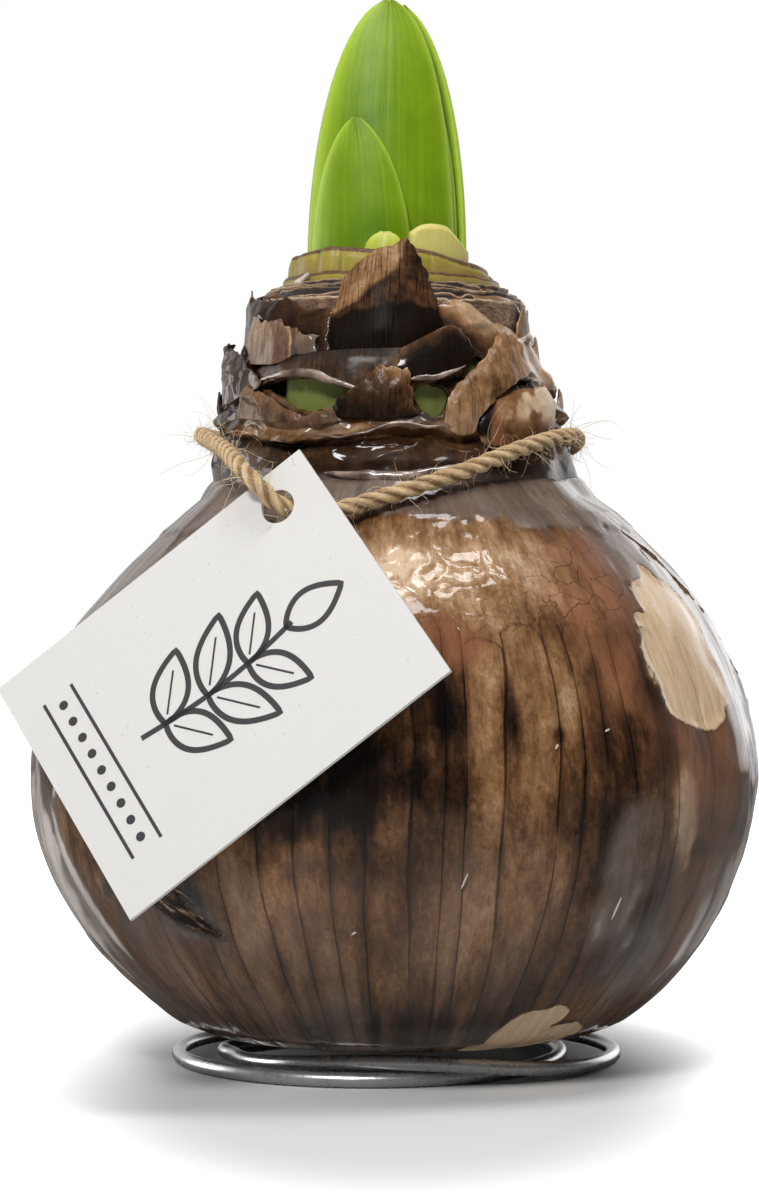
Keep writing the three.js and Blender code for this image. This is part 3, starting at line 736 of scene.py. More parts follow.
def flesh_look(name, low, high, blush):
    """Cut bulb scale: moist, faintly veined; the field rim is 1 at the dried cut edge."""
    look = Look(name)
    clouds = look.noise(look.mm, 0.16, 4, 0.6)
    lines = look.noise(look.meridian(16, 0.10), 1.6, 3, 0.6)
    colour = look.mix(look.total((clouds, 0.7), (lines, 0.5)), low, high)
    colour = look.mix(look.step(look.noise(look.mm, 0.10, 3), 0.45, 0.75, 0.0, 0.55), colour, blush)
    deep = look.step(look.along("Z"), 103, 107, 1.0, 0.0)
    green = look.total((clouds, 0.7), (lines, 0.4))
    green = look.mix(green, (0.09, 0.125, 0.020), (0.25, 0.275, 0.080))
    colour = look.mix(deep, colour, green)
    specks = look.step(look.noise(look.mm, 1.9, 2, 0.5), 0.68, 0.73)
    colour = look.mix(look.times(specks, 0.35), colour, (0.30, 0.07, 0.025))
    dry = look.plus(look.field("rim"), look.times(look.noise(look.mm, 1.2, 4, 0.6), 0.6))
    brown = look.mix(look.noise(look.mm, 0.9, 4), (0.028, 0.012, 0.006), (0.22, 0.12, 0.06))
    colour = look.mix(look.step(dry, 0.80, 0.95), colour, brown)
    relief = look.total((lines, 0.6), (clouds, 0.6))
    return look.finish(
        base=colour, roughness=0.45, normal=look.bump(relief, 0.15, 0.6),
        subsurface_weight=0.3, subsurface_radius=(1.0, 0.9, 0.4), subsurface_scale=0.002,
        specular_ior_level=0.3,
    )


def wire_look():
    look = Look("galvanised")
    haze = look.noise(look.mm, 0.35, 5, 0.65)
    marks = look.noise(look.scaled(1, 1, 4), 2.4, 4, 0.6)
    colour = look.mix(haze, (0.56, 0.57, 0.58), (0.84, 0.85, 0.86))
    dull = look.total((haze, 0.30), (marks, 0.12))
    return look.finish(base=colour, roughness=look.plus(dull, 0.08), metallic=0.8,
                       normal=look.bump(haze, 0.05, 0.35))


def card_look():
    look = Look("card")
    pulp = look.noise(look.mm, 2.2, 6, 0.7)
    colour = look.mix(pulp, (0.615, 0.597, 0.575), (0.700, 0.684, 0.665))
    fleck = look.step(look.cells(look.scaled(1.0, 1.6, 0.7), 0.42), 0.045, 0.075, 1.0, 0.0)
    colour = look.mix(look.times(fleck, 0.35), colour, (0.30, 0.26, 0.22))
    return look.finish(base=colour, roughness=0.85, normal=look.bump(pulp, 0.06, 0.5))


def ink_look():
    look = Look("ink")
    worn = look.noise(look.mm, 3.0, 5, 0.7)
    colour = look.mix(worn, (0.018, 0.018, 0.020), (0.050, 0.050, 0.054))
    return look.finish(base=colour, roughness=look.step(worn, 0.2, 0.8, 0.5, 0.7),
                       normal=look.bump(worn, 0.02, 0.4))


def jute_look(name, pale):
    look = Look(name)
    strand = look.noise(look.mm, 1.6, 5, 0.7)
    coarse = look.noise(look.mm, 0.4, 3, 0.5)
    lay = look.field("lay")
    lane = look.joined(look.times(look.math("SINE", lay), 9.0),
                       look.times(look.math("COSINE", lay), 9.0),
                       look.times(look.field("run"), 0.30))
    fibres = look.noise(lane, 1.0, 3, 0.6)
    # The groove field darkens the hollows between the strands: painted shade.
    fibre_tone_and_groove_shade = look.total((strand, 0.45), (coarse, 0.45), (fibres, 0.95), (look.field("groove"), -0.50))
    fibre_tone_and_groove_shade = look.plus(fibre_tone_and_groove_shade, -0.13)
    dark, mid, light = (0.085, 0.042, 0.015), (0.38, 0.230, 0.100), (0.80, 0.60, 0.36)
    if pale:
        dark, mid, light = (0.34, 0.22, 0.11), (0.60, 0.43, 0.25), (0.80, 0.64, 0.43)
    colour = look.ramp(fibre_tone_and_groove_shade, (0.12, dark), (0.5, mid), (0.95, light))
    relief = look.total((strand, 0.5), (fibres, 0.9))
    return look.finish(base=colour, roughness=0.85, normal=look.bump(relief, 0.30, 0.8),
                       sheen_weight=0.25, sheen_roughness=0.5, sheen_tint=(1.0, 0.85, 0.6))


def paper_look():
    """Cut edges of the dry layers, seen end on."""
    look = Look("paper_edges")
    rings = look.noise(look.meridian(18, 2.2), 0.9, 5, 0.65, 0.5)
    grain = look.noise(look.mm, 1.6, 5, 0.7)
    tone = look.total((rings, 0.65), (grain, 0.35), (look.field("tone"), 0.4))
    colour = look.ramp(tone, (0.22, (0.020, 0.010, 0.006)), (0.46, (0.17, 0.094, 0.050)),
                       (0.66, (0.36, 0.225, 0.130)), (0.95, (0.60, 0.44, 0.30)))
    return look.finish(base=colour, roughness=0.6, normal=look.bump(rings, 0.6, 0.8),
                       coat_weight=0.12, coat_roughness=0.3)


# ---- markings ----
# Each mark is a bearing, a height, half its width and height in mm, a tilt in degrees and how
# strong it is. Marks of one kind make one field over the skin.
MARKS = {
    "tone": [
        (13, 72.5, 15, 8.5, 0, 1), (-8, 73, 12, 6, 0, 0.8), (33, 71.5, 9, 7, 10, 0.45),
        (20, 60, 4, 6, 0, 0.55), (26, 56, 3.6, 10, 0, 0.75), (22, 46, 3.5, 9, 0, 0.35),
        (30.5, 58, 3.4, 7, 0, 0.3), (15, 58, 2.5, 5, 0, 0.35), (12, 50, 2.5, 5, 0, 0.3),
        (20, 30, 8, 9, 0, 0.5), (28, 33, 4, 7, 0, 0.35), (9, 25, 7, 8, 0, 0.4), (-14, 25, 12, 8, 0, 0.25),
        (-24, 27, 6, 8, 0, 0.25), (0, 20, 10, 6, 0, 0.25), (8.6, 54, 2.6, 5.6, 0, -0.6),
        (17.8, 53.5, 1.2, 5, 0, -0.6), (-5, 45, 11, 6.5, 0, -0.8), (-14, 40, 11, 4, 0, -0.5),
        (33, 48, 4, 12, 0, -0.35), (-6, 33, 9, 3.5, 0, -0.3), (13, 45, 3, 7, 0, 0.15),
        (17, 41, 4, 6, 0, 0.2), (31, 35, 4.5, 9, 0, -0.65), (42, 50, 5, 9, 0, -0.35),
        (60, 43, 8, 10, 0, -0.25), (2, 9, 20, 5, 0, -0.5), (24, 13, 8, 5, 0, -0.25),
        (44, 23, 9, 9, 0, -0.3), (43, 58, 3, 10, 12, -0.45), (54, 34, 2.2, 1.8, 0, -0.9),
        (24.5, 50.5, 1.2, 1.2, 0, -0.9), (-34, 25.5, 6.5, 3.2, 18, -0.5), (-51, 28.5, 4, 3.5, 0, 0.5),
        (49, 38.5, 3.4, 7.5, 10, 1.25), (-43, 17, 7, 6, 0, 0.35), (-40, 45, 16, 14, 0, -0.45),
        (-75, 36, 12, 16, 0, -0.1), (-28, 65, 14, 9, 0, 0.2), (50, 44, 5, 5, 0, 0.4),
        (38, 12, 9, 4, 0, 0.3), (9.5, 48, 4, 8, 0, -0.35), (-7, 22, 10, 8, 0, -0.25),
        (-30, 14.5, 9, 5, 0, 0.3), (50, 38, 2.6, 6, 8, 0.8), (62, 44, 6, 7, 0, 0.3),
        (60, 24, 8, 8, 0, 0.25), (110, 50, 17, 14, 0, 0.45), (135, 30, 15, 10, 0, -0.7),
        (165, 60, 18, 12, 0, 0.5), (-160, 40, 16, 14, 0, -0.8), (-130, 58, 16, 10, 0, 0.35),
        (-115, 28, 15, 10, 0, 0.3), (180, 22, 18, 8, 0, 0.3), (95, 24, 12, 10, 0, -0.5),
    ],
    # Milky wax. The strongest marks, near bearings -80 and 80, are painted glare on the wax along the
    # bulb's left and right sides.
    "milk_and_glare": [
        (38, 30, 5, 13, 0, 0.55), (50, 18, 7, 7, 0, 0.3), (-61, 73, 12, 7, 0, 0.8),
        (-84, 60, 12, 16, 0, 0.6), (-72, 34, 9, 17, 0, 1.25), (85, 66, 10, 10, 0, 0.5),
        (-62, 26, 5, 14, 12, 0.7), (78, 32, 9, 14, 0, 0.9), (66, 26, 8, 10, 0, 0.6),
        (56, 68, 12, 10, 0, 0.25), (10, 7.5, 30, 2.4, 0, 0.3), (58, 75, 10, 6, 0, 0.5),
        (-34, 25, 6, 4, 0, 0.35), (150, 40, 12, 14, 0, 0.5), (-140, 66, 14, 8, 0, 0.5),
        (-20, 12, 14, 4, 0, 0.25), (-110, 44, 10, 16, 0, 0.5), (-48, 22, 6, 8, 0, 0.3),
        (84, 38, 5, 16, 0, 1.2), (-80, 30, 6, 16, 0, 0.9), (5, 22, 44, 16, 0, 0.32),
        (56, 28, 20, 22, 0, 0.42), (-42, 22, 22, 16, 0, 0.32),
    ],
    "red": [
        (10.5, 63, 5, 4, 0, 0.9), (46, 69, 7, 7, 0, 0.75), (39, 61, 4, 7, 0, 0.45),
        (51, 42, 4.5, 7, 0, 0.75), (3, 66, 6, 3, 0, 0.4), (140, 62, 8, 8, 0, 0.7), (45, 50, 4, 6, 0, 0.4),
        (62, 44, 6, 7, 0, 0.3), (33, 66, 7, 5, 0, 0.5), (44, 74, 10, 5, 0, 0.45), (23, 60, 3.5, 6, 0, 0.35),
        (60, 60, 16, 16, 0, 0.25), (62, 30, 12, 14, 0, 0.45), (60, 46, 13, 9, 0, 0.45),
        (40, 72, 13, 7, 0, 0.5), (36, 60, 5, 9, 0, 0.3), (-45, 20, 14, 10, 0, 0.25),
        (0, 26, 26, 10, 0, 0.18), (-150, 30, 9, 7, 0, 0.5),
    ],
    "cream": [
        (56.5, 60.5, 8.6, 7.6, 4, 1.25), (55.5, 55, 7.4, 4.2, 0, 1.1), (60, 67, 7.4, 4.4, -6, 1.1),
        (50, 65.4, 3.4, 1.3, -20, 0.95), (59, 71.4, 2, 2.4, 20, 0.85), (50, 57.5, 2.6, 3.4, 0, 0.9),
        (30, 8.2, 4.4, 3.4, 24, 0.95), (28, 6.2, 6, 1, 6, 0.85), (34.5, 10.8, 2.4, 1.6, 0, 0.9),
        (39, 7.2, 6, 1.8, 8, 0.95), (-125, 18, 8, 4, 20, 1),
    ],
    "scar": [
        (-36, 26.2, 6.2, 2, -28, 1), (-35.5, 28.4, 5, 2.6, 0, 0.62), (-31, 24, 3.4, 1, -26, 0.9),
        (-51, 28.6, 3, 1.4, 40, 0.6), (118, 33, 4, 1.3, -12, 0.8), (-168, 52, 2.4, 1.2, 20, 0.7),
    ],
    "crack": [
        (38, 71, 10, 7, 0, 0.9), (20, 67, 12, 5, 0, 0.45), (150, 66, 14, 8, 0, 0.8),
    ],
    "arch": [
        (22, 60, 17, 14, 0, 1.4),
    ],
}


def mark_field(marks, points, seed, sharp=False):
    """How strongly the marks show at each point. Sharp ones keep their edges and don't add up."""
    ragged = 0.22 * wander(points, 5.0, seed, 4)
    result = np.zeros(points.shape[:-1])
    for at, middle, wide, tall, tilt, strength in marks:
        across = np.mod(bearing_of(points) - at + 180, 360) - 180
        across = np.radians(across) * radius_of(points)
        up = points[..., 2] - middle
        turn = math.radians(tilt)
        side = across * math.cos(turn) + up * math.sin(turn)
        rise = up * math.cos(turn) - across * math.sin(turn)
        away = np.hypot(side / wide, rise / tall) + ragged
        if sharp:
            result = np.maximum(result, np.clip(1.5 - away, 0, 1) * strength)
        else:
            result = result + strength * (1 - smoothstep(away, 0.35, 1.25))
    return np.clip(result, -1.5, 1.5)


# ---- body ----
def body_radius(bearing, radius, height):
    """The body is a little fuller on the right, and ribbed from base to shoulder."""
    angle = np.radians(bearing)
    upper = smoothstep(height, 60, 78)
    lower = 1 - smoothstep(height, 8, 30)
    ribs = smoothstep(height, 8, 30) * (1 - upper * 0.7)
    rib = 0.32 * np.sin(11 * angle + 0.04 * height) + 0.22 * np.sin(17 * angle + 1.1)
    side = (0.25 + 1.2 * upper + 1.1 * lower) * np.sin(angle)
    return radius + smoothstep(radius, 20, 32) * (side + ribs * rib)


# Folds of wax down the body: bearing at the top, lowest and highest point, how far the fold
#  leans in degrees for each mm, and how far it stands out in mm. Each fold also gets a painted
#  highlight line along its ridge.
WAX_FOLDS = [
    (82, 14, 52, 0.45, 0.55), (74, 12, 44, 0.40, 0.40), (67, 10, 34, 0.35, 0.30),
    (-79, 12, 50, -0.35, 0.45), (-70, 10, 38, -0.30, 0.30), (128, 16, 60, 0.3, 0.4),
    (-140, 12, 48, -0.4, 0.4), (-74, 16, 60, -0.25, 0.5), (-64, 14, 44, -0.35, 0.3),
    (89, 20, 62, 0.3, 0.5),
]
SKIRT_EDGE = [79.5, 79, 78.2, 78.4, 78.4, 79.9, 81.0, 78.9, 78.6, 79.6, 79.2, 79.0]


def make_body(look):
    """The ribbed round body with its wax, from the spike's bore to the recess for the twine."""
    bearing = bearings(BODY_COLS)
    lathe = np.vstack([BORE, curve_at(BODY, shares(BODY_ROWS))])
    radius, height = lathe[:, :1], lathe[:, 1:]
    points = on_bearing(bearing, body_radius(bearing, radius, height), height)
    edge = round_axis(SKIRT_EDGE, bearing) + 1.3 * wander(points, 4.5, 5, 4)
    skirt = smoothstep(height - edge, -0.15, 0.25)
    lumps = 0.30 * wander(points, 17, 3, 3) + 0.10 * wander(points * (1, 1, 0.12), 2.6, 9, 3)
    crinkle = 0.62 * (creases(points, 7.5, 31, 2) - 0.5) + 0.05 * wander(points, 2.4, 33, 2)
    crinkle = crinkle * hump(bearing, 14, 22) * hump(height, 72.5, 6.5)
    cream = mark_field(MARKS["cream"], points, 21, sharp=True)
    peel = smoothstep(cream, 0.48, 0.60)
    lip = hump(cream, 0.46, 0.07) * (height > 14)
    folds, fold_highlights = 0, 0
    for at, low, high, slope, depth in WAX_FOLDS:
        middle = at - slope * (high - height)
        shown = between(height, low, low + 6, high - 6, high)
        folds = folds + depth * shown * hump(bearing, middle, 1.5)
        # painted highlight: a pale line along each fold's ridge, added to the milky field
        fold_highlights = fold_highlights + shown * hump(bearing, middle, 1.1)
    grow = smoothstep(radius, 16, 34) * (height < 85)
    rise = grow * (lumps + 0.32 * skirt + crinkle - 0.36 * peel + 0.05 * lip + folds)
    points = points + on_bearing(bearing, 1, 0) * rise[..., None]
    upper = [neck_spots(bearing, *row) for row in NECK[:3]] + [on_bearing(bearing, 25.5, 86.5)]
    upper = curve_at(upper, shares(12))
    points = np.concatenate([points, upper])
    milk_and_glare = mark_field(MARKS["milk_and_glare"], points, 12)
    fold_highlights = np.clip(fold_highlights, 0, 1) * (0.75 + 0.4 * wander(points[:len(lathe)], 6, 17, 2))
    milk_and_glare[:len(lathe)] += 1.1 * fold_highlights
    skirt = np.concatenate([skirt, np.ones(upper.shape[:2])])
    milk_and_glare = np.maximum(milk_and_glare, skirt * (0.68 + 0.34 * wander(points, 8, 2, 4)))
    below = 1 - skirt
    foil = 1.2 * hump(bearing, 14, 17) * hump(points[..., 2], 72.5, 5.0)
    fields = {
        "tone": mark_field(MARKS["tone"], points, 11) * below,
        "milk_and_glare": np.clip(milk_and_glare, 0, 1.5),
        "red": np.clip(mark_field(MARKS["red"], points, 13), 0, 1) * below,
        "cream": np.concatenate([cream, np.zeros(upper.shape[:2])]),
        "crack": np.clip(mark_field(MARKS["crack"], points, 14), 0, 1) * below,
        "arch": np.clip(mark_field(MARKS["arch"], points, 15), 0, 1),
        "crinkle": np.clip(foil, 0, 1),
        "scar": mark_field(MARKS["scar"], points, 16, sharp=True),
    }
    faces = grid_faces(len(points), BODY_COLS, wrap=True)
    return add_piece("bulb_body", (points, faces), look, fields,
                     replaces=("bulb",))


# Edges of peeling film that stand out from the body: points of bearing and height.
FILM_EDGES = [
    [(63, 79.0), (70, 75.5), (77, 71.0), (82, 66.0), (85, 60.0), (87, 54.0), (88, 47.0), (88, 41.0)],
    [(-120, 76.0), (-128, 70.0), (-133, 62.0), (-136, 54.0)],
]
# Pale flecks of wax: bearing, height, length in mm and turn in degrees.
FLECKS = [(10.6, 31.2, 2.3, 70), (37, 26.5, 3.2, 80), (33, 51, 0.9, 20), (24, 49, 0.8, 60),
          (-6, 24, 0.8, 30), (70, 44.5, 1.4, 75), (-20, 60, 0.8, 0), (140, 44, 1.6, 50),
          (-150, 30, 1.4, 110), (176, 66, 1.1, 10)]


def body_surface(bearing, height):
    """Radius of the plain body at bearings and heights."""
    fine = curve_at(BODY, shares(400))
    upper = fine[fine[:, 1] > 5.2]
    radius = np.interp(height, upper[:, 1], upper[:, 0])
    return body_radius(np.asarray(bearing, float), radius, np.asarray(height, float))


def make_film_edges(look):
    """Thin dark ragged edges of film along the shoulder, seen against the light."""
    parts = []
    for number, spots in enumerate(FILM_EDGES):
        fine = curve_at(spots, shares(120))
        radius = body_surface(fine[:, 0], fine[:, 1])
        share = shares(8)[:, None]
        base = on_bearing(fine[:, 0], radius, fine[:, 1])
        ragged = 0.08 + 0.42 * np.clip(wander(base, 2.2, 240 + number, 4), -0.4, 1)
        ends = np.minimum(1, 8 * np.minimum(shares(120), 1 - shares(120)))
        reach = -0.5 + (0.5 + ragged * ends) * share
        grid = on_bearing(fine[:, 0] + 1.4 * share, radius + reach, fine[:, 1])
        parts.append(slab(grid, 0.12))
    points, faces = several(parts)
    tone = 0.1 + 0.6 * wander(points, 4, 245, 2)
    return add_piece("film_edges", (points, faces), look, {"tone": tone})


def make_flecks(look):
    """A few slivers of pale wax on the body."""
    parts = []
    for bearing, height, length, turn in FLECKS:
        t = np.linspace(-0.5, 0.5, 7) * length
        at = bearing + np.degrees(math.cos(math.radians(turn)) * t / 50)
        z = height + math.sin(math.radians(turn)) * t
        line = on_bearing(at, body_surface(at, z) + 0.12, z)
        thick = 0.17 * np.sqrt(np.clip(1 - (2 * t / length) ** 2, 0.1, 1))
        parts.append(pipe(line, thick, 6))
    return add_piece("wax_flecks", several(parts), look)


def make_sliver(look):
    """A sliver of torn white skin that lies on the left of the ring."""
    share = shares(14)
    half = 0.12 + 0.42 * np.sin(share ** 0.8 * math.pi) ** 0.7
    middle = 114.7 + 1.4 * share + 0.1 * np.sin(9 * share)
    across = np.linspace(-1, 1, 5)[:, None]
    grid = on_bearing(-58 + 13 * share, 17.1 - 0.2 * across ** 2, middle + half * across)
    return add_piece("pale_sliver", slab(grid, 0.16), look)


def fleck_look():
    look = Look("wax_fleck")
    cloud = look.noise(look.mm, 1.4, 3, 0.6)
    return look.finish(base=look.mix(cloud, (0.36, 0.29, 0.22), (0.66, 0.60, 0.52)), roughness=0.4,
                       normal=look.bump(cloud, 0.1, 0.5), coat_weight=0.5, coat_roughness=0.15)


# ---- neck ----
def hem_height(name, bearing):
    ragged = 0.0
    if name in ("collar", "lip"):
        around = on_bearing(bearing, 26, 90)
        ragged = 0.55 * wander(around, 3.2, 40 + len(name), 3) + 0.5 * wander(around, 9, 50, 2)
    return round_axis(HEMS[name], bearing) + ragged


def neck_spots(bearing, hem, share, radius):
    """Points of one row of the neck, at an array of bearings."""
    angle = np.radians(bearing)
    low, high = hem_height(hem, bearing), hem_height(NEXT_HEM[hem], bearing)
    height = low + (high - low) * share
    narrow = -0.9 * np.sin(angle) ** 2
    lean = 0.9 * (1 - share) * np.sin(angle) if hem == "foot" else 0
    ruffle = 0.28 * np.sin(9 * angle + share * 4) + 0.2 * np.sin(13 * angle + 2)
    turn = np.mod(bearing - 45 + 180, 360) - 180
    swell = 1.7 * hump(turn, 0, 12) * hump(height, 96.5, 3.6)
    drawn_in = -0.7 * smoothstep(height, 103, 110) * np.maximum(0, np.sin(angle))
    return on_bearing(bearing, radius + narrow + lean + ruffle + swell + drawn_in, height)


def brim_spots(bearing):
    """Points of the neck's cut brim, at an array of bearings."""
    angle = np.radians(bearing)
    uneven = 0.25 * np.sin(8 * angle) + 0.15 * np.sin(15 * angle)
    drawn_in = -0.25 * (BRIM_R - MOUTH_R) * np.maximum(0, np.sin(angle))
    return on_bearing(bearing, BRIM_R + uneven + drawn_in, round_axis(HEMS["brim"], bearing))


# Colour of the neck's layers by place: bearing, height, half sizes, tilt and strength. The dark
#  mark at bearing 28 and 94 mm is painted shade in the crevice beside the bulge, and the thin dark
#  one at bearing -20 and 90.8 mm is painted shade under the collar's hem.
NECK_TONES = [
    (-5, 107, 14, 6, 0, -1.2), (10, 103.5, 8, 3, 0, -0.9), (-35, 109.5, 8, 3, 0, -0.55),
    (-28, 105, 8, 4, 0, -0.9), (30, 109.5, 8, 3.5, -15, 0.55), (48, 107, 9, 5, 0, 0.65),
    (33, 105, 6, 2.5, 0, -0.3), (-46, 95.4, 8, 3.6, 0, 1.2), (-33, 93, 6, 2.2, 0, 0.5),
    (-22, 93.4, 8, 2.4, 0, 0.75), (0, 92.6, 10, 2, 0, 0.35), (24, 93.4, 5, 3, 0, 0.5),
    (-20, 90.8, 16, 1.2, 0, -0.4), (-8, 88.2, 18, 1.6, 0, -0.2), (-12, 103, 16, 2.2, 0, -0.5),
    (28, 94, 2.2, 4, -20, -1), (-60, 101, 9, 4, 0, -0.1), (-20, 102, 12, 1.6, 0, -0.2),
    (0, 89.4, 26, 2, 0, 0.25), (30, 88, 14, 2.5, 0, -0.1), (70, 104, 9, 6, 0, 0.55), (80, 96, 7, 5, 0, 0.4),
    (62, 90, 8, 4, 0, 0.4), (-60, 90, 8, 3, 0, 0.3), (55, 110.5, 22, 3.5, 0, 1), (76, 108, 10, 5, 0, 0.8),
    (78, 102, 10, 5, 0, 0.6), (-60, 110.5, 12, 3, 0, 0.6), (120, 100, 14, 6, 0, 0.5),
    (160, 105, 12, 5, 0, -0.7), (-150, 97, 14, 6, 0, 0.4), (-120, 106, 12, 5, 0, -0.6),
    (180, 96, 10, 4, 0, -0.4), (-95, 95, 9, 4, 0, -0.4),
]
# Milky wax on the neck, set where the wax shows whitest: partly painted highlights on the wax.
NECK_MILKS_AND_GLARE = [
    (12, 93.9, 8, 1, 0, 0.55), (-26, 93.4, 7, 1.2, 0, 0.45), (2, 89, 9, 1, 0, 0.2),
    (6, 85.9, 20, 1, 0, 0.7), (-40, 96.5, 6, 2, 0, 0.3), (55, 101, 8, 2, -20, 0.4), (80, 100, 8, 4, 0, 0.3),
    (-85, 98, 8, 5, 0, 0.5), (-60, 88, 12, 3, 0, 0.5), (70, 88, 12, 3, 0, 0.4), (140, 92, 14, 3, 0, 0.4),
    (-150, 90, 12, 3, 0, 0.4),
]
NECK_REDS = [(33, 95.2, 5.0, 4.0, 0, 1.0), (47, 92.5, 5, 2.5, 0, 0.5), (52, 98, 5, 3, 0, 0.4)]


def tear_edges(rows, bearing):
    """The lower and upper edge of a tear at an array of bearings, with a ragged outline."""
    at, lows, highs = zip(*rows)
    around = on_bearing(bearing, 26, 97)
    low = np.interp(bearing, at, lows) + 0.40 * wander(around, 2.2, 61, 3)
    high = np.interp(bearing, at, highs) + 0.22 * wander(around, 2.6, 62, 3)
    ends = between(bearing, at[0], at[0] + 2, at[-1] - 2, at[-1])
    middle = (low + high) / 2
    return middle + (low - middle) * ends, middle + (high - middle) * ends


def tear_rims(outer):
    """A rounded rim round each tear in the outer face, and a wall from it to the scales."""
    flat = outer.reshape(-1, 3)
    flat_radius = radius_of(flat)
    near = kdtree.KDTree(len(flat))
    for i, (at, z) in enumerate(zip(bearing_of(flat), flat[:, 2])):
        near.insert((at * MM_PER_DEGREE, z, 0), i)
    near.balance()
    parts = []
    for rows in TEARS:
        run = np.linspace(rows[0][0], rows[-1][0], 60)
        low, high = tear_edges(rows, run)
        at = np.concatenate([run, run[-2:0:-1]])
        height = np.concatenate([low, high[-2:0:-1]])
        radius = [
            np.median([flat_radius[i] for _, i, _ in near.find_n((b * MM_PER_DEGREE, z, 0), 6)])
            for b, z in zip(at, height)
        ]
        radius = np.convolve([*radius[-2:], *radius, *radius[:2]], np.ones(5) / 5, "valid")
        loop = on_bearing(at, radius - 0.1, height)
        closed = np.vstack([loop, loop[:2]])
        lower = np.repeat([1, 0, 1], [60, 58, 2])
        thick = 0.34 + 0.12 * wander(closed, 2.2, 77, 3) + 0.16 * lower
        parts.append(pipe(closed, thick, 8))
        wall = line_at([loop, on_bearing(at, 21.2, height)], shares(6))
        parts.append((wall.reshape(-1, 3), grid_faces(6, len(loop), wrap=True)))
    return parts


def make_neck(look):
    """The dry layers of the neck with their hems, the tears through them and the tears' rims."""
    bearing = bearings(NECK_COLS)
    rows = [neck_spots(bearing, *row) for row in NECK[2:]] + [brim_spots(bearing)]
    outer = line_at(rows, shares(NECK_ROWS))
    height = outer[..., 2]
    crush = 0.75 * (creases(outer * (1, 1, 2.6), 12, 71, 2) - 0.6)
    crush += 0.20 * (creases(outer, 5.5, 72, 2) - 0.5) + 0.03 * wander(outer, 1.6, 73, 2)
    strength = smoothstep(height, 86, 90) * (1 - 0.35 * smoothstep(height, 109, 112))
    covered = between(bearing, -62, -52, 24, 36) * smoothstep(height, 97, 99.5)
    covered = np.maximum(covered, hump(bearing, 45, 17) * hump(height, 95, 5))
    crush = crush * strength * (1 - 0.8 * covered) - 0.35 * covered * strength
    outer = outer + on_bearing(bearing, 1, 0) * crush[..., None]
    outer[..., 2] += 0.5 * strength * wander(outer * (1, 1, 0.3), 5, 75, 2)
    inner = [on_bearing(bearing, radius + GAP + 0.2, z) for radius, z in FLESHY[::-1]]
    points = np.concatenate([outer, line_at(inner, shares(INNER_ROWS))]).reshape(-1, 3)
    faces = grid_faces(NECK_ROWS + INNER_ROWS, NECK_COLS, wrap=True)
    centre = points[np.array(faces)].mean(axis=1)
    at = bearing_of(centre)
    keep = np.ones(len(faces), bool)
    for rows in TEARS:
        low, high = tear_edges(rows, at)
        keep &= (at <= rows[0][0]) | (at >= rows[-1][0]) | (centre[:, 2] <= low) | (centre[:, 2] >= high)
    faces = [face for face, kept in zip(faces, keep) if kept]
    points, faces = several([(points, faces), *tear_rims(outer)])
    at, z, radius = bearing_of(points), points[:, 2], radius_of(points)
    tone = mark_field(NECK_TONES, points, 80) - 0.45
    # Painted highlight: a lighter line along the lower edge of the collar's and the lip's layers.
    for hem, light in (("collar", 0.7), ("lip", 0.5)):
        tone += light * hump(z - hem_height(hem, at), 0.25, 0.45) * (radius > 24.5)
    # Painted shade: darker where the neck is drawn in below the collar's hem.
    tone -= 0.7 * smoothstep(25.2 - radius, 0, 1.5) * (z < 93)
    milk_and_glare = mark_field(NECK_MILKS_AND_GLARE, points, 84) + 0.12 * wander(points, 6, 81)
    fields = {
        "tone": np.clip(tone, -1.5, 1.5),
        "milk_and_glare": np.clip(milk_and_glare, 0, 0.8),
        "red": np.clip(mark_field(NECK_REDS, points, 82), 0, 1),
    }
    return add_piece("neck_tunic", (points, faces), look, fields,
                     replaces=("bulb",))


# Rolled wax lips over the tears: bearing, height, radius, half the height and half the depth
# in mm. The last one is the wax line above the twine.
LIPS = [
    [(-52, 100.1, 25.0, 0.12, 0.1), (-44, 100.5, 25.4, 0.30, 0.2), (-37, 100.9, 25.8, 0.50, 0.30),
     (-30, 101.0, 26.1, 0.62, 0.36), (-24, 100.6, 26.3, 0.60, 0.36), (-18, 99.6, 26.5, 0.48, 0.32),
     (-13, 98.8, 26.6, 0.35, 0.25), (-9, 98.4, 26.5, 0.12, 0.1)],
    [(5, 99.7, 26.5, 0.10, 0.1), (9, 99.9, 26.6, 0.38, 0.2), (14, 100.2, 26.5, 0.38, 0.22),
     (19, 100.9, 26.2, 0.30, 0.2), (24, 102.0, 25.8, 0.10, 0.1)],
    [(-26, 91.9, 27.4, 0.10, 0.1), (-20, 91.7, 27.6, 0.18, 0.18), (-14, 91.7, 27.8, 0.18, 0.2),
     (-8, 92.1, 27.8, 0.20, 0.2), (-4, 92.8, 27.8, 0.22, 0.2), (0, 93.4, 27.8, 0.22, 0.2),
     (4, 93.6, 27.8, 0.20, 0.2), (10, 93.1, 27.8, 0.22, 0.2), (15, 93.0, 27.7, 0.18, 0.2),
     (19, 92.2, 27.5, 0.10, 0.1)],
    [(-20, 86.6, 27.6, 0.1, 0.1), (-10, 86.2, 28.3, 0.65, 0.4), (-2, 85.9, 28.6, 0.85, 0.5),
     (6, 85.8, 28.8, 1.05, 0.6), (14, 86.3, 28.6, 1.1, 0.6), (22, 87.0, 28.1, 0.7, 0.4),
     (30, 87.6, 27.6, 0.1, 0.1)],
]


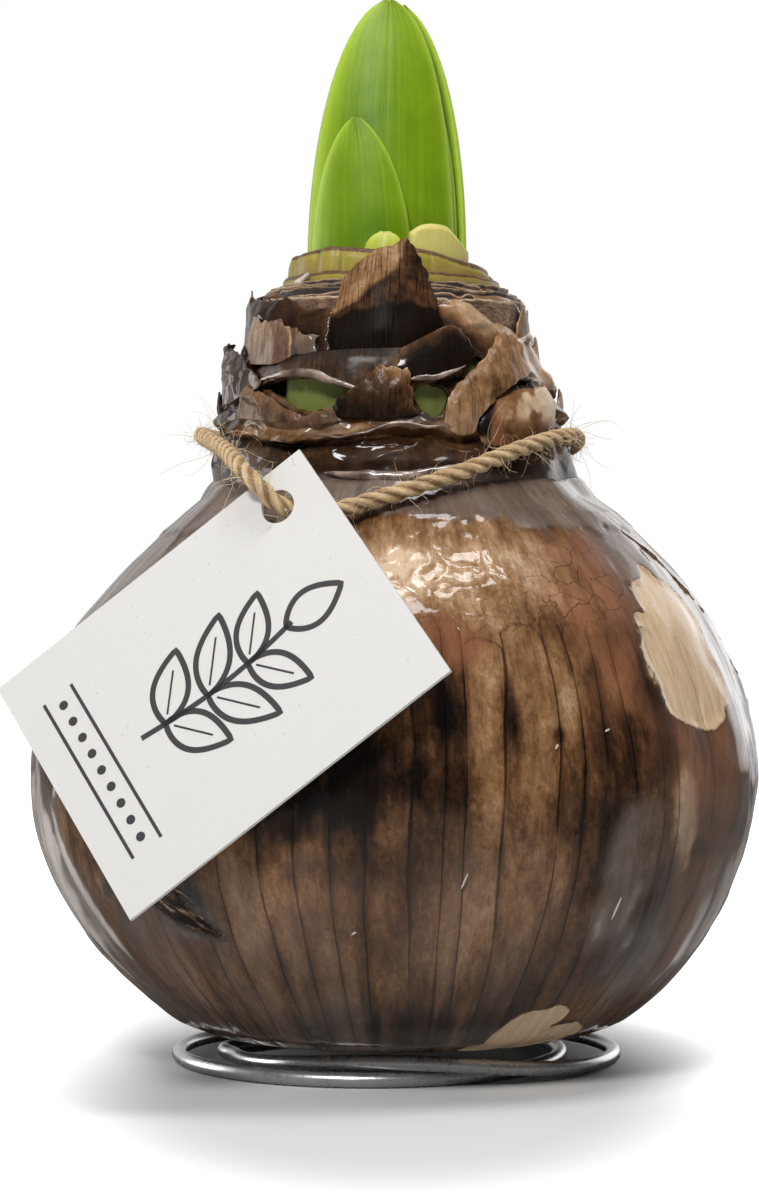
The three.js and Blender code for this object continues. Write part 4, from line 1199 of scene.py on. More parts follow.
def lip_look():
    look = Look("wax_lip")
    cloud = look.noise(look.mm, 0.30, 3, 0.5)
    colour = look.ramp(cloud, (0.34, (0.060, 0.034, 0.022)), (0.48, (0.17, 0.115, 0.092)),
                       (0.62, (0.36, 0.275, 0.235)))
    wave = look.noise(look.mm, 0.30, 2, 0.4)
    return look.finish(base=colour, roughness=0.35, normal=look.bump(cloud, 0.2, 0.5),
                       subsurface_weight=0.3, subsurface_radius=(1.0, 0.6, 0.4),
                       subsurface_scale=0.001, coat_weight=1.0, coat_roughness=0.07,
                       coat_ior=1.5, coat_normal=look.bump(wave, 0.8, 0.7))


def make_lips(look):
    """Rolled, glossy edges of the layers over the tears and above the twine."""
    parts = []
    turn = shares(17)[:-1] * 2 * math.pi
    for number, rows in enumerate(LIPS):
        bearing, height, radius, tall, deep = curve_at(rows, shares(90)).T
        line = on_bearing(bearing, radius, height)
        line[:, 2] += 0.22 * wander(line, 2.6, 230 + number, 2)
        uneven = 1 + 0.25 * wander(line, 3, 235 + number, 2)
        tall = (np.maximum(0.1, tall) * uneven)[:, None]
        deep = np.maximum(0.1, deep)[:, None]
        oval = tall * deep / np.hypot(tall * np.cos(turn), deep * np.sin(turn))
        parts.append(pipe(line, oval, len(turn)))
    return add_piece("wax_lips", several(parts), look)


# Layers inside the brim: radius and height of the cut.
PAPER = [(20.5, 112.5), (19.9, 113.1), (19.3, 113.7), (18.6, 114.2), (17.9, 114.8), (17.2, 115.2)]
PAPER_ROOT = 108


def make_paper_edges(look):
    """Thin dry layers inside the brim, cut off in steps, with painted shade in the gaps between them."""
    parts, tones = [], []
    bearing = np.arange(PAPER_COLS + 1) * 360 / PAPER_COLS
    sag = 0.45 * np.maximum(0, np.sin(np.radians(bearing)))
    rise = 1 - (1 - shares(11)[:, None]) ** 2.5
    for number, (radius, top) in enumerate(PAPER):
        around = on_bearing(bearing, radius, 0)
        ragged = 0.18 * wander(around, 1.4, 90 + number, 4)
        ragged = ragged + 0.70 * wander(around, 13, 95 + number, 2)
        ragged = ragged - 0.9 * smoothstep(wander(around, 9.0, 93 + number, 3), 0.22, 0.50)
        height = PAPER_ROOT + (top - 0.1 - sag + ragged - PAPER_ROOT) * rise
        waver = 0.45 * wander(around, 5.0, 98 + number, 3) * rise
        parts.append(slab(on_bearing(bearing, radius + waver, height), 0.34))
        below = height[-1:] - height
        # Painted shade: each layer darkens a little below its cut edge, in the gap by the next layer; the
        # outermost layer, whose face shows, is darkened less.
        shade = (0.1 if number == 0 else -0.9) + 1.2 * (1 - smoothstep(below, 0.12, 0.42))
        shade = shade + 0.7 * (1 - smoothstep(below, 0.03, 0.12))
        shade = shade + 0.8 * wander(around, 4, 99 + number, 3)
        tones.append(np.tile(shade.ravel(), 2))
    return add_piece("paper_edges", several(parts), look,
                     {"tone": np.concatenate(tones)})


# Flaps with a coarser mesh.
SMALL_FLAPS = ("flap_brim_left", "flap_grey_bit", "flap_spike_right", "flap_spike_low",
               "chip_left", "chip_right", "flap_brim_back", "flap_curled_back", "flap_low_back")
# The other flaps have flap_tunic.
FLAP_SKINS = {
    "flap_bulge": "bulge_tunic", "flap_front": "front_tunic", "flap_brim_left": "neck_tunic",
    "flap_fold_right": "neck_tunic", "flap_grey_bit": "neck_tunic", "flap_curled_left": "neck_tunic",
}

# Torn flaps of dry skin. Rows run from a flap's root to its free edge, each a line of
# bearing, height and radius from its left to its right side. tone is the colour at the root,
# in the middle and at the free edge; ragged and crush are in mm.
FLAPS = {
    "flap_front": dict(rows=[
        [(-28, 103.6, 23.6), (-14, 103.6, 24.4), (-2, 103.8, 24.8), (8, 104.6, 24.4), (20, 105.6, 23.4)],
        [(-25, 106.4, 23.5), (-13, 106.6, 24.1), (-2, 106.9, 24.5), (8, 107.2, 24.1), (18.5, 108.2, 23.1)],
        [(-22, 109.3, 22.9), (-13, 109.5, 23.3), (-2, 109.8, 23.6), (8, 110.2, 23.2), (17.5, 110.6, 22.3)],
        [(-20, 112, 21.8), (-12, 112.9, 22.3), (-3, 113.3, 22.7), (7, 113.7, 22.2), (16, 113.2, 21.4)],
        [(-19, 115.1, 20.4), (-10, 115.9, 21), (-1, 116.1, 21.4), (7, 116.4, 20.9), (14.2, 115.9, 20)],
        [(-9, 118.2, 19.4), (-3, 118.5, 19.8), (2, 118.8, 20), (7, 119, 19.6), (10.5, 118.6, 19.2)],
        [(4.4, 120.3, 18.7), (5.6, 120.5, 18.7), (6.6, 120.6, 18.7), (7.4, 120.5, 18.7),
         (8.4, 120.3, 18.7)],
    ], tone=(-1.3, -1.05, 0.35), ragged=0.28, crush=0.1, fold=0.6, seed=1),
    "flap_brim_left": dict(rows=[
        [(-69, 104.8, 23.2), (-51, 104, 24.1), (-39, 103.8, 24.5), (-30, 103.8, 24.5), (-22, 104, 24.4)],
        [(-75, 109.7, 22.3), (-55, 108.6, 23.2), (-41, 108.2, 23.6), (-31, 107.5, 23.7),
         (-22, 107.3, 23.6)],
        [(-80, 114.4, 21), (-70, 113.2, 21.5), (-56, 112.3, 21.9), (-41, 111.8, 22.2), (-33, 110.4, 22.5),
         (-21, 110.4, 22.3)],
    ], tone=(-0.95, -0.75, -0.35), ragged=0.35, crush=0.4, fold=0.6, seed=2),
    "flap_ivory": dict(rows=[
        [(-58, 102.9, 24.2), (-48, 102.6, 24.9), (-42, 102.5, 25.2), (-37, 103, 25.2), (-33, 103.8, 25.1)],
        [(-61, 106.6, 24), (-49, 106.2, 24.6), (-42, 106, 24.9), (-37, 105.8, 24.9), (-33, 105.6, 24.8)],
        [(-58, 109.9, 23.6), (-52, 108.9, 24), (-47, 108.5, 24.3), (-41, 108.9, 24.3), (-39, 108, 24.4),
         (-33.5, 107.3, 24.4)],
    ], tone=(0.55, 0.75, 0.9), ragged=0.3, crush=0.45, fold=0.6, seed=3, milky=0.42),
    "flap_grey_bit": dict(rows=[
        [(-34, 103.8, 25), (-30, 103.7, 25.1), (-26, 104, 25)],
        [(-34, 105.6, 24.9), (-30, 105.8, 25.1), (-26, 105.6, 24.8)],
        [(-33, 107.2, 24.4), (-30, 106.6, 24.8), (-25, 106.4, 24.4)],
    ], tone=(-0.2, 0.1, 0.2), ragged=0.2, crush=0.5, fold=0.8, milky=0.75, seed=16),
    "flap_curled_left": dict(rows=[
        [(-76, 97, 25.8), (-64, 97.2, 26.3), (-53, 98.4, 26)],
        [(-79, 100.3, 25.4), (-66, 100.6, 25.9), (-48, 99.9, 25.6)],
        [(-83, 103.2, 24.9), (-72, 103.4, 25.4), (-55, 102.2, 25.3)],
        [(-88, 105.2, 24.3), (-80, 105.4, 24.8), (-66, 104.6, 24.8)],
        [(-92, 107, 24), (-90, 107.1, 24.1), (-87, 106.6, 24.3)],
    ], tone=(-0.3, -0.6, -1.1), ragged=0.3, crush=0.95, fold=0.7, milky=0.38, seed=4),
    "flap_lip": dict(rows=[
        [(-53, 102, 24.2), (-38, 103.4, 24.7), (-24, 103.9, 25), (-12, 104.1, 25.2), (3, 104.3, 25.2)],
        [(-50, 100.8, 24.9), (-36, 102.2, 25.3), (-24, 102.4, 25.7), (-12, 102.2, 26), (3, 102.2, 26.1)],
        [(-48, 99.9, 25.1), (-38, 100.5, 25.5), (-29, 100.7, 25.9), (-22, 100.2, 26.2), (-16, 99.2, 26.3),
         (-11, 98.5, 26.4), (-5, 98.8, 26.5), (3, 99.6, 26.4)],
    ], tone=(-0.8, -0.45, 0.2), ragged=0.22, crush=0.3, fold=0.3, milky=0.15, seed=5),
    "flap_fold_right": dict(rows=[
        [(-4, 103, 25), (3.5, 104.3, 25.1), (11, 106, 24.9), (19, 107.6, 24.4), (24, 107.3, 23.8)],
        [(0, 101.4, 25.9), (7, 102.5, 26.1), (14.5, 103.7, 25.8), (21, 104.9, 25.2), (27, 105.4, 24.5)],
        [(4, 99.5, 26.3), (10.5, 99.8, 26.4), (17, 100.4, 26.1), (23.5, 101.9, 25.5), (31, 103.9, 24.7)],
    ], tone=(0.1, -1.2, -0.9), ragged=0.22, crush=0.22, fold=0.3, seed=6),
    "flap_dark": dict(rows=[
        [(-21, 94.6, 26.3), (-13, 94.3, 27), (-5, 94.2, 27.3), (2, 94.3, 27.3), (8, 94.7, 26.8)],
        [(-17, 96.8, 26.6), (-12, 97, 27.1), (-5, 97.1, 27.5), (1, 97.4, 27.4), (7, 97.1, 27)],
        [(-12, 98.5, 26.9), (-8, 98.8, 27.2), (-3, 98.9, 27.5), (1, 99.1, 27.4), (6.5, 98.8, 27)],
        [(-8, 100, 27), (-6, 100.4, 27.2), (-2, 100.6, 27.4), (1, 100.5, 27.3), (6, 100.2, 27)],
        [(-5, 101.4, 26.9), (-3, 101.7, 27), (0, 101.3, 27.2), (2.5, 101.2, 27.1), (4.5, 101.3, 26.9)],
    ], tone=(-0.75, -0.15, 0.75), ragged=0.45, crush=0.5, fold=0.9, seed=7),
    "flap_window_roll": dict(rows=[
        [(-60, 95.2, 26.2), (-50, 94.6, 26.8), (-42, 94.2, 27.2), (-34, 93.8, 27.4), (-27, 93.4, 27.5),
         (-20, 93.6, 27.4), (-15, 94, 27)],
        [(-58, 97, 26.2), (-50, 96.9, 26.7), (-43, 96.1, 27.1), (-36, 95, 27.4), (-29, 94.1, 27.6),
         (-23, 94.2, 27.5), (-17, 94.9, 27.2)],
        [(-56, 98.9, 25.8), (-50, 99, 26.2), (-44, 98.1, 26.6), (-38, 96.9, 26.9), (-33, 95.5, 27.1),
         (-27, 94.6, 27.2), (-22, 95.2, 27.1), (-18, 96, 26.9)],
    ], tone=(0.2, 0, 0.4), ragged=0.3, crush=0.75, fold=1, milky=0.22, seed=18),
    "flap_tan_right": dict(rows=[
        [(16, 92.8, 26.6), (18, 92.2, 27.2), (21, 91.9, 27.5), (25, 92.2, 27.3)],
        [(16.8, 95.9, 27), (19, 95.6, 27.7), (23, 95.2, 28), (28, 95, 27.6)],
        [(20, 98.9, 26.8), (23, 98.6, 27.5), (28, 98.1, 27.8), (34.5, 97.9, 27.5)],
        [(27, 101.6, 26.2), (30, 101.4, 26.9), (36, 100.7, 27.2), (43, 100.1, 26.9)],
        [(34, 104.2, 25.3), (37, 104, 26), (43, 103.1, 26.2), (52, 101.6, 25.8)],
        [(39, 106.3, 24.4), (42, 107.1, 24.6), (46, 106.6, 24.8), (51, 105.1, 24.6)],
    ], tone=(0.65, 0.4, 0.9), ragged=0.3, crush=0.75, fold=0.4, seed=8),
    "flap_bulge": dict(rows=[
        [(28, 90.8, 27), (35, 90.4, 27.7), (47, 90.6, 27.5), (60, 92, 26.6)],
        [(26, 93.2, 26.8), (34, 93.4, 28), (50, 93.6, 27.7), (66, 94.6, 26.2)],
        [(27.5, 95.4, 26.6), (36, 95.8, 27.8), (52, 96.2, 27.3), (69, 97.2, 25.6)],
        [(31, 97.4, 26.3), (39, 97.9, 27.1), (53, 98.5, 26.6), (68, 99, 25)],
        [(37, 98.9, 25.8), (44, 99.5, 26), (54, 99.9, 25.6), (63, 99.6, 24.8)],
    ], tone=(-0.1, 0.45, 0.25), ragged=0.4, crush=0.28, fold=0.8, seed=17),
    "flap_spike_right": dict(rows=[
        [(58, 106.5, 21), (70, 106.5, 21.2), (82, 106.5, 20.9)],
        [(64, 110, 20.9), (70, 110.2, 21.1), (78, 109.8, 20.9)],
        [(69, 112.3, 20.7), (71, 112.4, 20.8), (73, 112.2, 20.7)],
    ], tone=(0.3, 0.5, 0.8), ragged=0.3, crush=0.4, seed=9),
    "flap_spike_low": dict(rows=[
        [(68, 102, 21.8), (80, 102, 22), (94, 102, 21.7)],
        [(76, 105, 21.8), (82, 105.2, 22), (90, 104.8, 21.7)],
        [(81, 107.6, 21.6), (83, 107.7, 21.6), (85, 107.5, 21.6)],
    ], tone=(0.4, 0.5, 0.8), ragged=0.3, crush=0.4, seed=10),
    "chip_left": dict(rows=[
        [(-102, 94, 24.8), (-90, 93.8, 25.4), (-76, 94.2, 25.2)],
        [(-99, 97, 25.3), (-90, 97.2, 25.8), (-82, 97, 25.6)],
        [(-96, 99.5, 25.6), (-91, 99.8, 25.8), (-87, 99.3, 25.6)],
    ], tone=(-0.7, -0.9, -0.6), ragged=0.35, crush=0.5, seed=11),
    "chip_right": dict(rows=[
        [(74, 94.2, 24.9), (88, 94, 25.2), (101, 94.6, 24.7)],
        [(79, 97.2, 25.2), (88, 97.4, 25.5), (97, 97.2, 25)],
        [(85, 99.9, 25.2), (89, 100.1, 25.3), (93, 99.7, 25.2)],
    ], tone=(0.3, 0.35, 0.1), ragged=0.35, crush=0.45, seed=12),
    "flap_brim_back": dict(rows=[
        [(144, 106.8, 21.4), (166, 106.8, 21.8), (188, 107.2, 21.4)],
        [(149, 112.4, 21.1), (164, 112.6, 21.4), (180, 112.9, 21.1)],
        [(157, 116.6, 20.4), (161, 117, 20.5), (166, 116.9, 20.4)],
    ], tone=(-0.5, 0.1, 0.4), ragged=0.35, crush=0.45, seed=13),
    "flap_curled_back": dict(rows=[
        [(-151, 98, 24.3), (-134, 97.6, 25), (-117, 98.2, 24.3)],
        [(-146, 103.4, 24.5), (-136, 103.4, 24.9), (-125, 103, 24.5)],
        [(-139, 106.4, 24.8), (-136, 106.6, 24.9), (-133, 106.3, 24.8)],
    ], tone=(-0.6, -0.1, 0.5), ragged=0.35, crush=0.5, seed=14),
    "flap_low_back": dict(rows=[
        [(111, 94, 25.3), (126, 93.8, 25.9), (141, 94, 25.3)],
        [(116, 99.2, 26.2), (126, 99.4, 26.5), (137, 98.8, 26.2)],
        [(124, 102.4, 26.3), (127, 102.6, 26.4), (130, 102.4, 26.3)],
    ], tone=(0.4, 0.5, 0.8), ragged=0.4, crush=0.5, seed=15),
}


def make_flap(name, look, rows, tone, ragged, crush, seed, fold=0.45, milky=0.0):
    """One torn flap: a thin crumpled sheet through its rows, with a ragged outline."""
    across, up = (40, 34) if name in SMALL_FLAPS else (68, 54)
    at, rise = shares(across), shares(up)[:, None]
    spots = curve_at([curve_at(row, at) for row in rows], shares(up))
    bearing, height, radius = np.moveaxis(spots, -1, 0)
    side = 2 * at - 1
    border = np.abs(side) ** 6
    drift = on_bearing(bearing, radius, height)
    jag = wander(drift, 1.5, 100 + seed, 4) + 0.6 * wander(drift, 5.0, 120 + seed, 2)
    pleats = creases(drift * (1, 1, fold), 6.5, 140 + seed, 3) - 0.55
    small = wander(drift, 1.5, 160 + seed, 3)
    bearing = bearing + np.degrees(ragged / radius) * np.sign(side) * border * jag * 1.6
    height = height + ragged * 1.8 * rise ** 6 * jag
    radius = radius + crush * (0.35 + 0.65 * rise) * (pleats + 0.25 * small)
    grid = on_bearing(bearing, radius, height)
    thick = 0.42 - 0.20 * np.maximum(rise ** 4, border)
    root, middle, edge = tone
    shade = np.interp(rise, (0, 0.5, 0.93, 1.0), (root, middle, (middle + edge) / 2, edge))
    shade = shade + 0.45 * border + 0.25 * wander(grid, 4, 180 + seed, 3)
    red = 0
    if name == "flap_front":
        fold_at = np.interp(rise, (0.30, 0.34, 0.41, 0.62, 0.80, 1),
                            (-0.2, 0.0, 0.24, 0.56, 0.64, 0.60))
        facet = smoothstep(fold_at - at, -0.01, 0.03)
        sag = 0.10 * side ** 2 + 0.04 * wander(grid, 2.0, 183, 3)
        plain = smoothstep(rise + sag, 0.34, 0.40)
        shade = -1.4 + 1.05 * plain + 0.90 * facet * plain + 0.35 * wander(grid, 3, 181, 3)
        shade = shade + 0.5 * hump(fold_at - at, -0.01, 0.02) * plain
    if name == "flap_tan_right":
        red = 0.55 * smoothstep(rise + 0.1 * wander(grid, 2, 197, 3), 0.80, 0.95)
    if name == "flap_ivory":
        streak = 0.06 * wander(grid * (1, 1, 0.2), 1.5, 194, 3)
        band = between(at + streak, 0.40, 0.50, 0.74, 0.84)
        red = 0.35 * band
        shade = shade - 0.75 * band - 1.3 * smoothstep(at + streak, 0.86, 0.92) + 2.0 * streak
    if name == "flap_bulge":
        blotch = 0.5 * wander(grid, 4.0, 192, 3)
        red = 0.85 * (1 - smoothstep(at + blotch, 0.34, 0.58))
        shade = shade + 1.3 * smoothstep(at + blotch, 0.42, 0.66) * smoothstep(rise, 0.2, 0.5)
        shade = shade + 0.5 * blotch
        edge = 0.05 * wander(grid, 2.0, 191, 3)
        # Painted shade: a dark rim along the bulge's left and upper edges, in the crevices where it meets
        # the flaps round it.
        outline = np.maximum(1 - smoothstep(at + edge, 0.15, 0.24),
                             smoothstep(rise + edge, 0.84, 0.93))
        red = red * (1 - outline)
        shade = shade - 1.6 * outline * smoothstep(rise, 0.06, 0.2)
    film_and_glare = np.clip(milky + 0.45 * (milky + 0.05) * wander(grid, 5, 190 + seed), 0, 0.9)
    fields = {"tone": np.clip(shade, -1.4, 1.4), "milk_and_glare": film_and_glare, "red": red}
    return add_sheet(name, grid, thick, look, fields)


# ---- fleshy scales, bud and leaves ----
def rim_height(bearing):
    angle = np.radians(bearing)
    drop = 0.9 * smoothstep(np.sin(angle), 0.45, 1.0)
    return 118.7 + 1.2 * np.cos(angle + 0.75) + 0.2 * np.sin(7 * angle) - drop


def make_scales(look):
    """The green fleshy scales: a stem of closed scales with lobes, cut off to a cup."""
    bearing = bearings(SCALE_COLS)
    angle = np.radians(bearing)
    rows = [on_bearing(bearing, radius, z) for radius, z in FLESHY]
    lobe = 0.30 * np.abs(np.sin(angle * 4.5 + 0.4)) ** 0.6 - 0.25
    rim = [(SCALE_R + lobe, -1.2), (SCALE_R - 0.25 + lobe, -0.1), (SCALE_R - 0.8 + lobe, 0.2),
           (CUP_R + 0.4, 0), (CUP_R, -0.6)]
    rows += [on_bearing(bearing, radius, rim_height(bearing) + rise) for radius, rise in rim]
    rows += [on_bearing(bearing, radius, CUP_FLOOR) for radius in (CUP_R, 0.05)]
    counts = [10, 10, 10, 14, 12, 16, 10, 6, 8, 6, 8, 10]
    steps = [i + shares(count + 1)[:-1] for i, count in enumerate(counts)]
    grid = line_at(rows, np.concatenate([*steps, [len(counts)]]) / len(counts))
    z, radius = grid[..., 2], radius_of(grid)
    bulge = 0.28 * np.sin(np.clip((z - 112) / 7.5, 0, 1) * math.pi) * (radius > 14)
    for at in (-73, -48, -31, -12, 78, 112, 150, -150, -112):
        bulge = bulge - 0.75 * hump(bearing, at, 3.2) * (z > 111)
    flush = np.interp(z, (92, 94, 100, 103.5), (22.4, 23.6, 23.9, 22.9)) - radius
    windows = np.maximum(between(bearing, -47, -38, -14, -6), between(bearing, 0, 5, 34, 42))
    bulge = bulge + flush * windows * between(z, 91, 93.5, 102.8, 105.5)
    seam = creases(grid * (1, 1, 0.08), 5.0, 201, 2) ** 6
    grid = grid + on_bearing(bearing, (bulge - 0.25 * seam) * (radius > 14), 0)
    wide = 0.78 + 0.35 * smoothstep(np.sin(angle), 0.2, 0.9)
    dry = hump(z - rim_height(bearing), 0.1, wide) * (radius > CUP_R + 0.2)
    low_edge = 0.9 * hump(z, 115.6, 0.4) * (radius > 15)
    shape = grid, grid_faces(len(grid), SCALE_COLS, wrap=True)
    return add_piece("cut_scales", shape, look,
                     {"rim": np.maximum(dry, low_edge)}, replaces=("fleshy_scales",))


def make_outer_scale(look):
    """A second, thinner ring of scale outside the first, cut lower."""
    bearing = np.linspace(-120, 170, 200)
    around = on_bearing(bearing, 16, 0)
    top = 116.0 + 0.35 * np.cos(np.radians(bearing) + 0.75) + 0.22 * wander(around, 3.5, 211, 3)
    share = shares(14)[:, None]
    radius = 15.85 + 0.22 * np.sin(share * math.pi) + 0.12 * wander(around, 5, 212, 2)
    grid = on_bearing(bearing, radius, 113.5 + (top - 113.5) * share)
    return add_sheet("outer_scale", grid, 0.7, look,
                     {"rim": smoothstep(share, 0.72, 0.90)})


SCALE_TIP = [(13, 122.4), (24, 123.6), (40, 123.6), (49, 122.6), (60, 121.2), (70, 120.2)]


def make_scale_tip(look):
    """A thick pale scale inside the ring, cut high at the front."""
    at, rise = shares(64), shares(32)[:, None]
    bearing, top = curve_at(SCALE_TIP, at).T
    grid = on_bearing(bearing, 11.5 + 0.15 * np.sin(3 * at), LEAF_ROOT + (top - LEAF_ROOT) * rise)
    ends = np.clip(np.minimum(at, 1 - at) / 0.06, 0, 1) ** 0.5
    thick = 1.9 * (0.35 + 0.65 * ends) * (1 - 0.45 * smoothstep(rise, 0.86, 1.0))
    return add_sheet("pale_scale_tip", grid, thick, look,
                     {"rim": 0.55 * smoothstep(rise, 0.90, 1.0)}, replaces=("scale_tip",))


def make_bud(look):
    """The blunt tip of a folded young leaf, low at the front of the cup."""
    x, y, top = -1.2, -11.1, 122.5
    side, rise = 2 * shares(48) - 1, shares(46)[:, None]
    dome = np.sqrt(np.maximum(0, 1 - rise ** 3.2))
    notch = -0.55 * rise ** 3 * hump(side, -0.1, 0.02 ** 0.5)
    groove = 0.35 * hump(side, -0.1, 0.012 ** 0.5) * smoothstep(rise, 0.2, 0.9)
    grid = spots_at(x + side * np.maximum(0.9, 3.0 * dome) + 0.3 * rise, y + groove,
                    LEAF_ROOT + (top - LEAF_ROOT) * rise + notch)
    thick = np.maximum(0.7, 1.9 * dome) * (0.3 + 0.7 * np.sqrt(1 - side ** 2))
    margin = np.clip(hump(side, -0.1, 0.03 ** 0.5) + rise ** 3 * 0.6, 0, 1)
    return add_sheet("bud_leaf_tip", grid, thick, look,
                     {"lane": side, "margin": margin}, replaces=("bud_tip",))


LEAVES = {
    "leaf_main": dict(tip=157.8, middle=-1.5, drift=1.2, half=10.75, shape=(2.05, 0.5),
                      y=-6.2, bow=0.037, skew=0, lean=0.75, thick=2.0),
    "leaf_inner": dict(tip=151.5, middle=0.1, drift=1.9, half=9.9, shape=(2.2, 0.62),
                       y=-0.5, bow=0, skew=0, lean=0, thick=1.5),
    "leaf_back": dict(tip=157.9, middle=0.7, drift=1.0, half=10.5, shape=(2.2, 0.6),
                      y=4.0, bow=-0.03, skew=0, lean=0.75, thick=2.0),
    "leaf_small": dict(tip=139.8, middle=-4.4, drift=-0.8, half=7.35, shape=(2.0, 0.62),
                       y=-8.6, bow=0.055, skew=-0.25, lean=0.35, thick=1.6),
}


def make_leaf(name, look, tip, middle, drift, half, shape, y, bow, skew, lean, thick):
    """A leaf blade with the solid's own curves and softly ribbed faces."""
    side = 2 * shares(60) - 1
    t = 1 - (1 - shares(88)[:, None]) ** 1.5
    half_width = np.maximum(0.25, half * np.maximum(0, 1 - t ** shape[0]) ** shape[1])
    x = middle + drift * t * t + side * half_width
    dx = x - middle
    closing = lean * bow * (half ** 2 - half_width ** 2)
    depth = y + closing + bow * dx * dx + skew * dx
    ribs = 0.012 * np.sin(side * 34) + 0.04 * hump(side, 0.02, 0.003 ** 0.5)
    grid = spots_at(x, depth + ribs, LEAF_ROOT + (tip - LEAF_ROOT) * t)
    thick = thick * (0.35 + 0.65 * np.sqrt(1 - side ** 2)) * (1 - 0.45 * t ** 3)
    # Painted light: the left half of each blade is paler, as the side that faces the lamps.
    paler = 0.38 * smoothstep(-side, 0.0, 0.9)
    fields = {
        "lane": side * (0.3 + 0.7 * half_width / half),
        "margin": np.clip(np.abs(side) ** 9 + 0.35 * t ** 6 + paler, 0, 1),
    }
    return add_sheet(f"{name}_blade", grid, thick, look, fields, replaces=(name,))


# ---- stand ----
def stand_points():
    """The wire from its spike in the basal plate, round the upper loop and the lower loop."""
    bend, arm_height = 2.5, 3.1
    points = [(0, 0, SPIKE_TOP), (0, 0, 13), (0, 0, 8.5)]
    for turn in (0, 30, 60, 90):
        angle = math.radians(turn)
        points.append((bend * (math.cos(angle) - 1), 0, arm_height + bend * (1 - math.sin(angle))))
    points += [(-8, 0.6, arm_height - 0.3), (-15, 1.6, 2.2), (-20.5, 2.4, 1.5), (-23.6, 1.6, 1.35),
               (-24.9, -0.8, 1.25)]
    for bearing in range(-80, 501, 10):
        lower = float(smoothstep(bearing, 130, 250))
        rise = LOOP_LIFT * math.exp(-(((bearing + 8) / 42) ** 2)) * (1 - lower)
        height = WIRE_R + (rise if bearing < 130 else 0)
        spot = on_bearing(bearing, LOOP_R, height)
        spot[0] += UPPER_LOOP_X + (LOWER_LOOP_X - UPPER_LOOP_X) * lower
        points.append(tuple(spot))
    return points


def make_stand(look):
    line = smooth_line(stand_points(), 0.6)
    ends = np.minimum(np.arange(len(line)), np.arange(len(line))[::-1]) * 0.6
    radius = WIRE_R * np.sqrt(np.clip(1 - (1 - np.clip(ends / 0.5, 0, 1)) ** 2, 0.15, 1))
    points, faces = pipe(line, radius, 16)
    points[:, 2] = np.maximum(points[:, 2], 0)
    return add_piece("wire_coil", (points, faces), look,
                     replaces=("wire_stand",))


# ---- tag ----
def on_tag(across, along, out):
    """Points on the tag, in mm across and along it from its top corner and out of its middle."""
    across, along = np.broadcast_arrays(np.asarray(across, float), np.asarray(along, float))
    return (TAG_CORNER + across[..., None] * TAG_ACROSS + along[..., None] * TAG_ALONG
            + out * TAG_OUT)


def stroke(line, width, closed=False):
    """A flat printed line on the tag through points of its own two sizes."""
    line = np.asarray(line, float)
    count = len(line)
    slope = np.gradient(line, axis=0)
    if closed:
        slope = np.roll(line, -1, axis=0) - np.roll(line, 1, axis=0)
    slope /= np.linalg.norm(slope, axis=1, keepdims=True)
    side = np.stack([-slope[:, 1], slope[:, 0]], axis=1) * width / 2
    left, right = (line - side).T, (line + side).T
    top, low = TAG_THICK / 2 + INK_THICK, TAG_THICK / 2 - INK_THICK
    ring = np.stack([on_tag(*left, top), on_tag(*right, top), on_tag(*right, low),
                     on_tag(*left, low)])
    faces = []
    for i in range(count if closed else count - 1):
        j = (i + 1) % count
        for k in range(4):
            n = (k + 1) % 4
            faces.append([k * count + i, k * count + j, n * count + j, n * count + i])
    if not closed:
        faces += [[0, count, 2 * count, 3 * count],
                  [4 * count - 1, 3 * count - 1, 2 * count - 1, count - 1]]
    return ring.reshape(-1, 3), faces


def leaf_outline(root, turn, length, width):
    """A pointed leaf outline on the tag from its root, turned in degrees."""
    t = shares(28)
    half = width / 2 * np.sin(math.pi * t ** 0.85) ** 0.9
    right = np.stack([t * length, half], axis=1)
    left = np.stack([t[::-1] * length, -half[::-1]], axis=1)[1:-1]
    outline = np.concatenate([right, left])
    c, s = math.cos(math.radians(turn)), math.sin(math.radians(turn))
    return outline @ np.array([[c, s], [-s, c]]) + root


def make_print(look):
    """A plain sprig in outline over two rules and a row of dots."""
    parts = []
    stem = [21 + 1.2 * np.sin(np.linspace(0, 3, 24)), np.linspace(40, 14, 24)]
    parts.append(stroke(np.stack(stem, axis=1), 0.8))
    for level, (place, length) in enumerate([(36, 10.5), (29, 11.5), (22, 10.0)]):
        x = 21 + 1.2 * math.sin((40 - place) / 26 * 3)
        for side in (-1, 1):
            turn = -90 + side * 52
            outline = leaf_outline((x, place), turn, length, 5.4 - 0.3 * level)
            parts.append(stroke(outline, 0.85, closed=True))
            rib = np.linspace(0.12, 0.72, 8)[:, None] * length
            way = np.array([math.cos(math.radians(turn)), math.sin(math.radians(turn))])
            parts.append(stroke(np.array([x, place]) + rib * way, 0.3))
    parts.append(stroke(leaf_outline((21.2, 15), -90, 9.5, 5.4), 0.85, closed=True))
    for place in (44.6, 49.4):
        parts.append(stroke([(7, place), (21, place), (35, place)], 0.5))
    for number in range(9):
        turn = np.linspace(0, 2 * math.pi, 16, endpoint=False)
        dot = np.stack([9 + 3 * number + 0.35 * np.cos(turn), 47 + 0.35 * np.sin(turn)], axis=1)
        parts.append(stroke(dot, 0.68, closed=True))
    return add_piece("tag_print", several(parts), look, smooth=False)


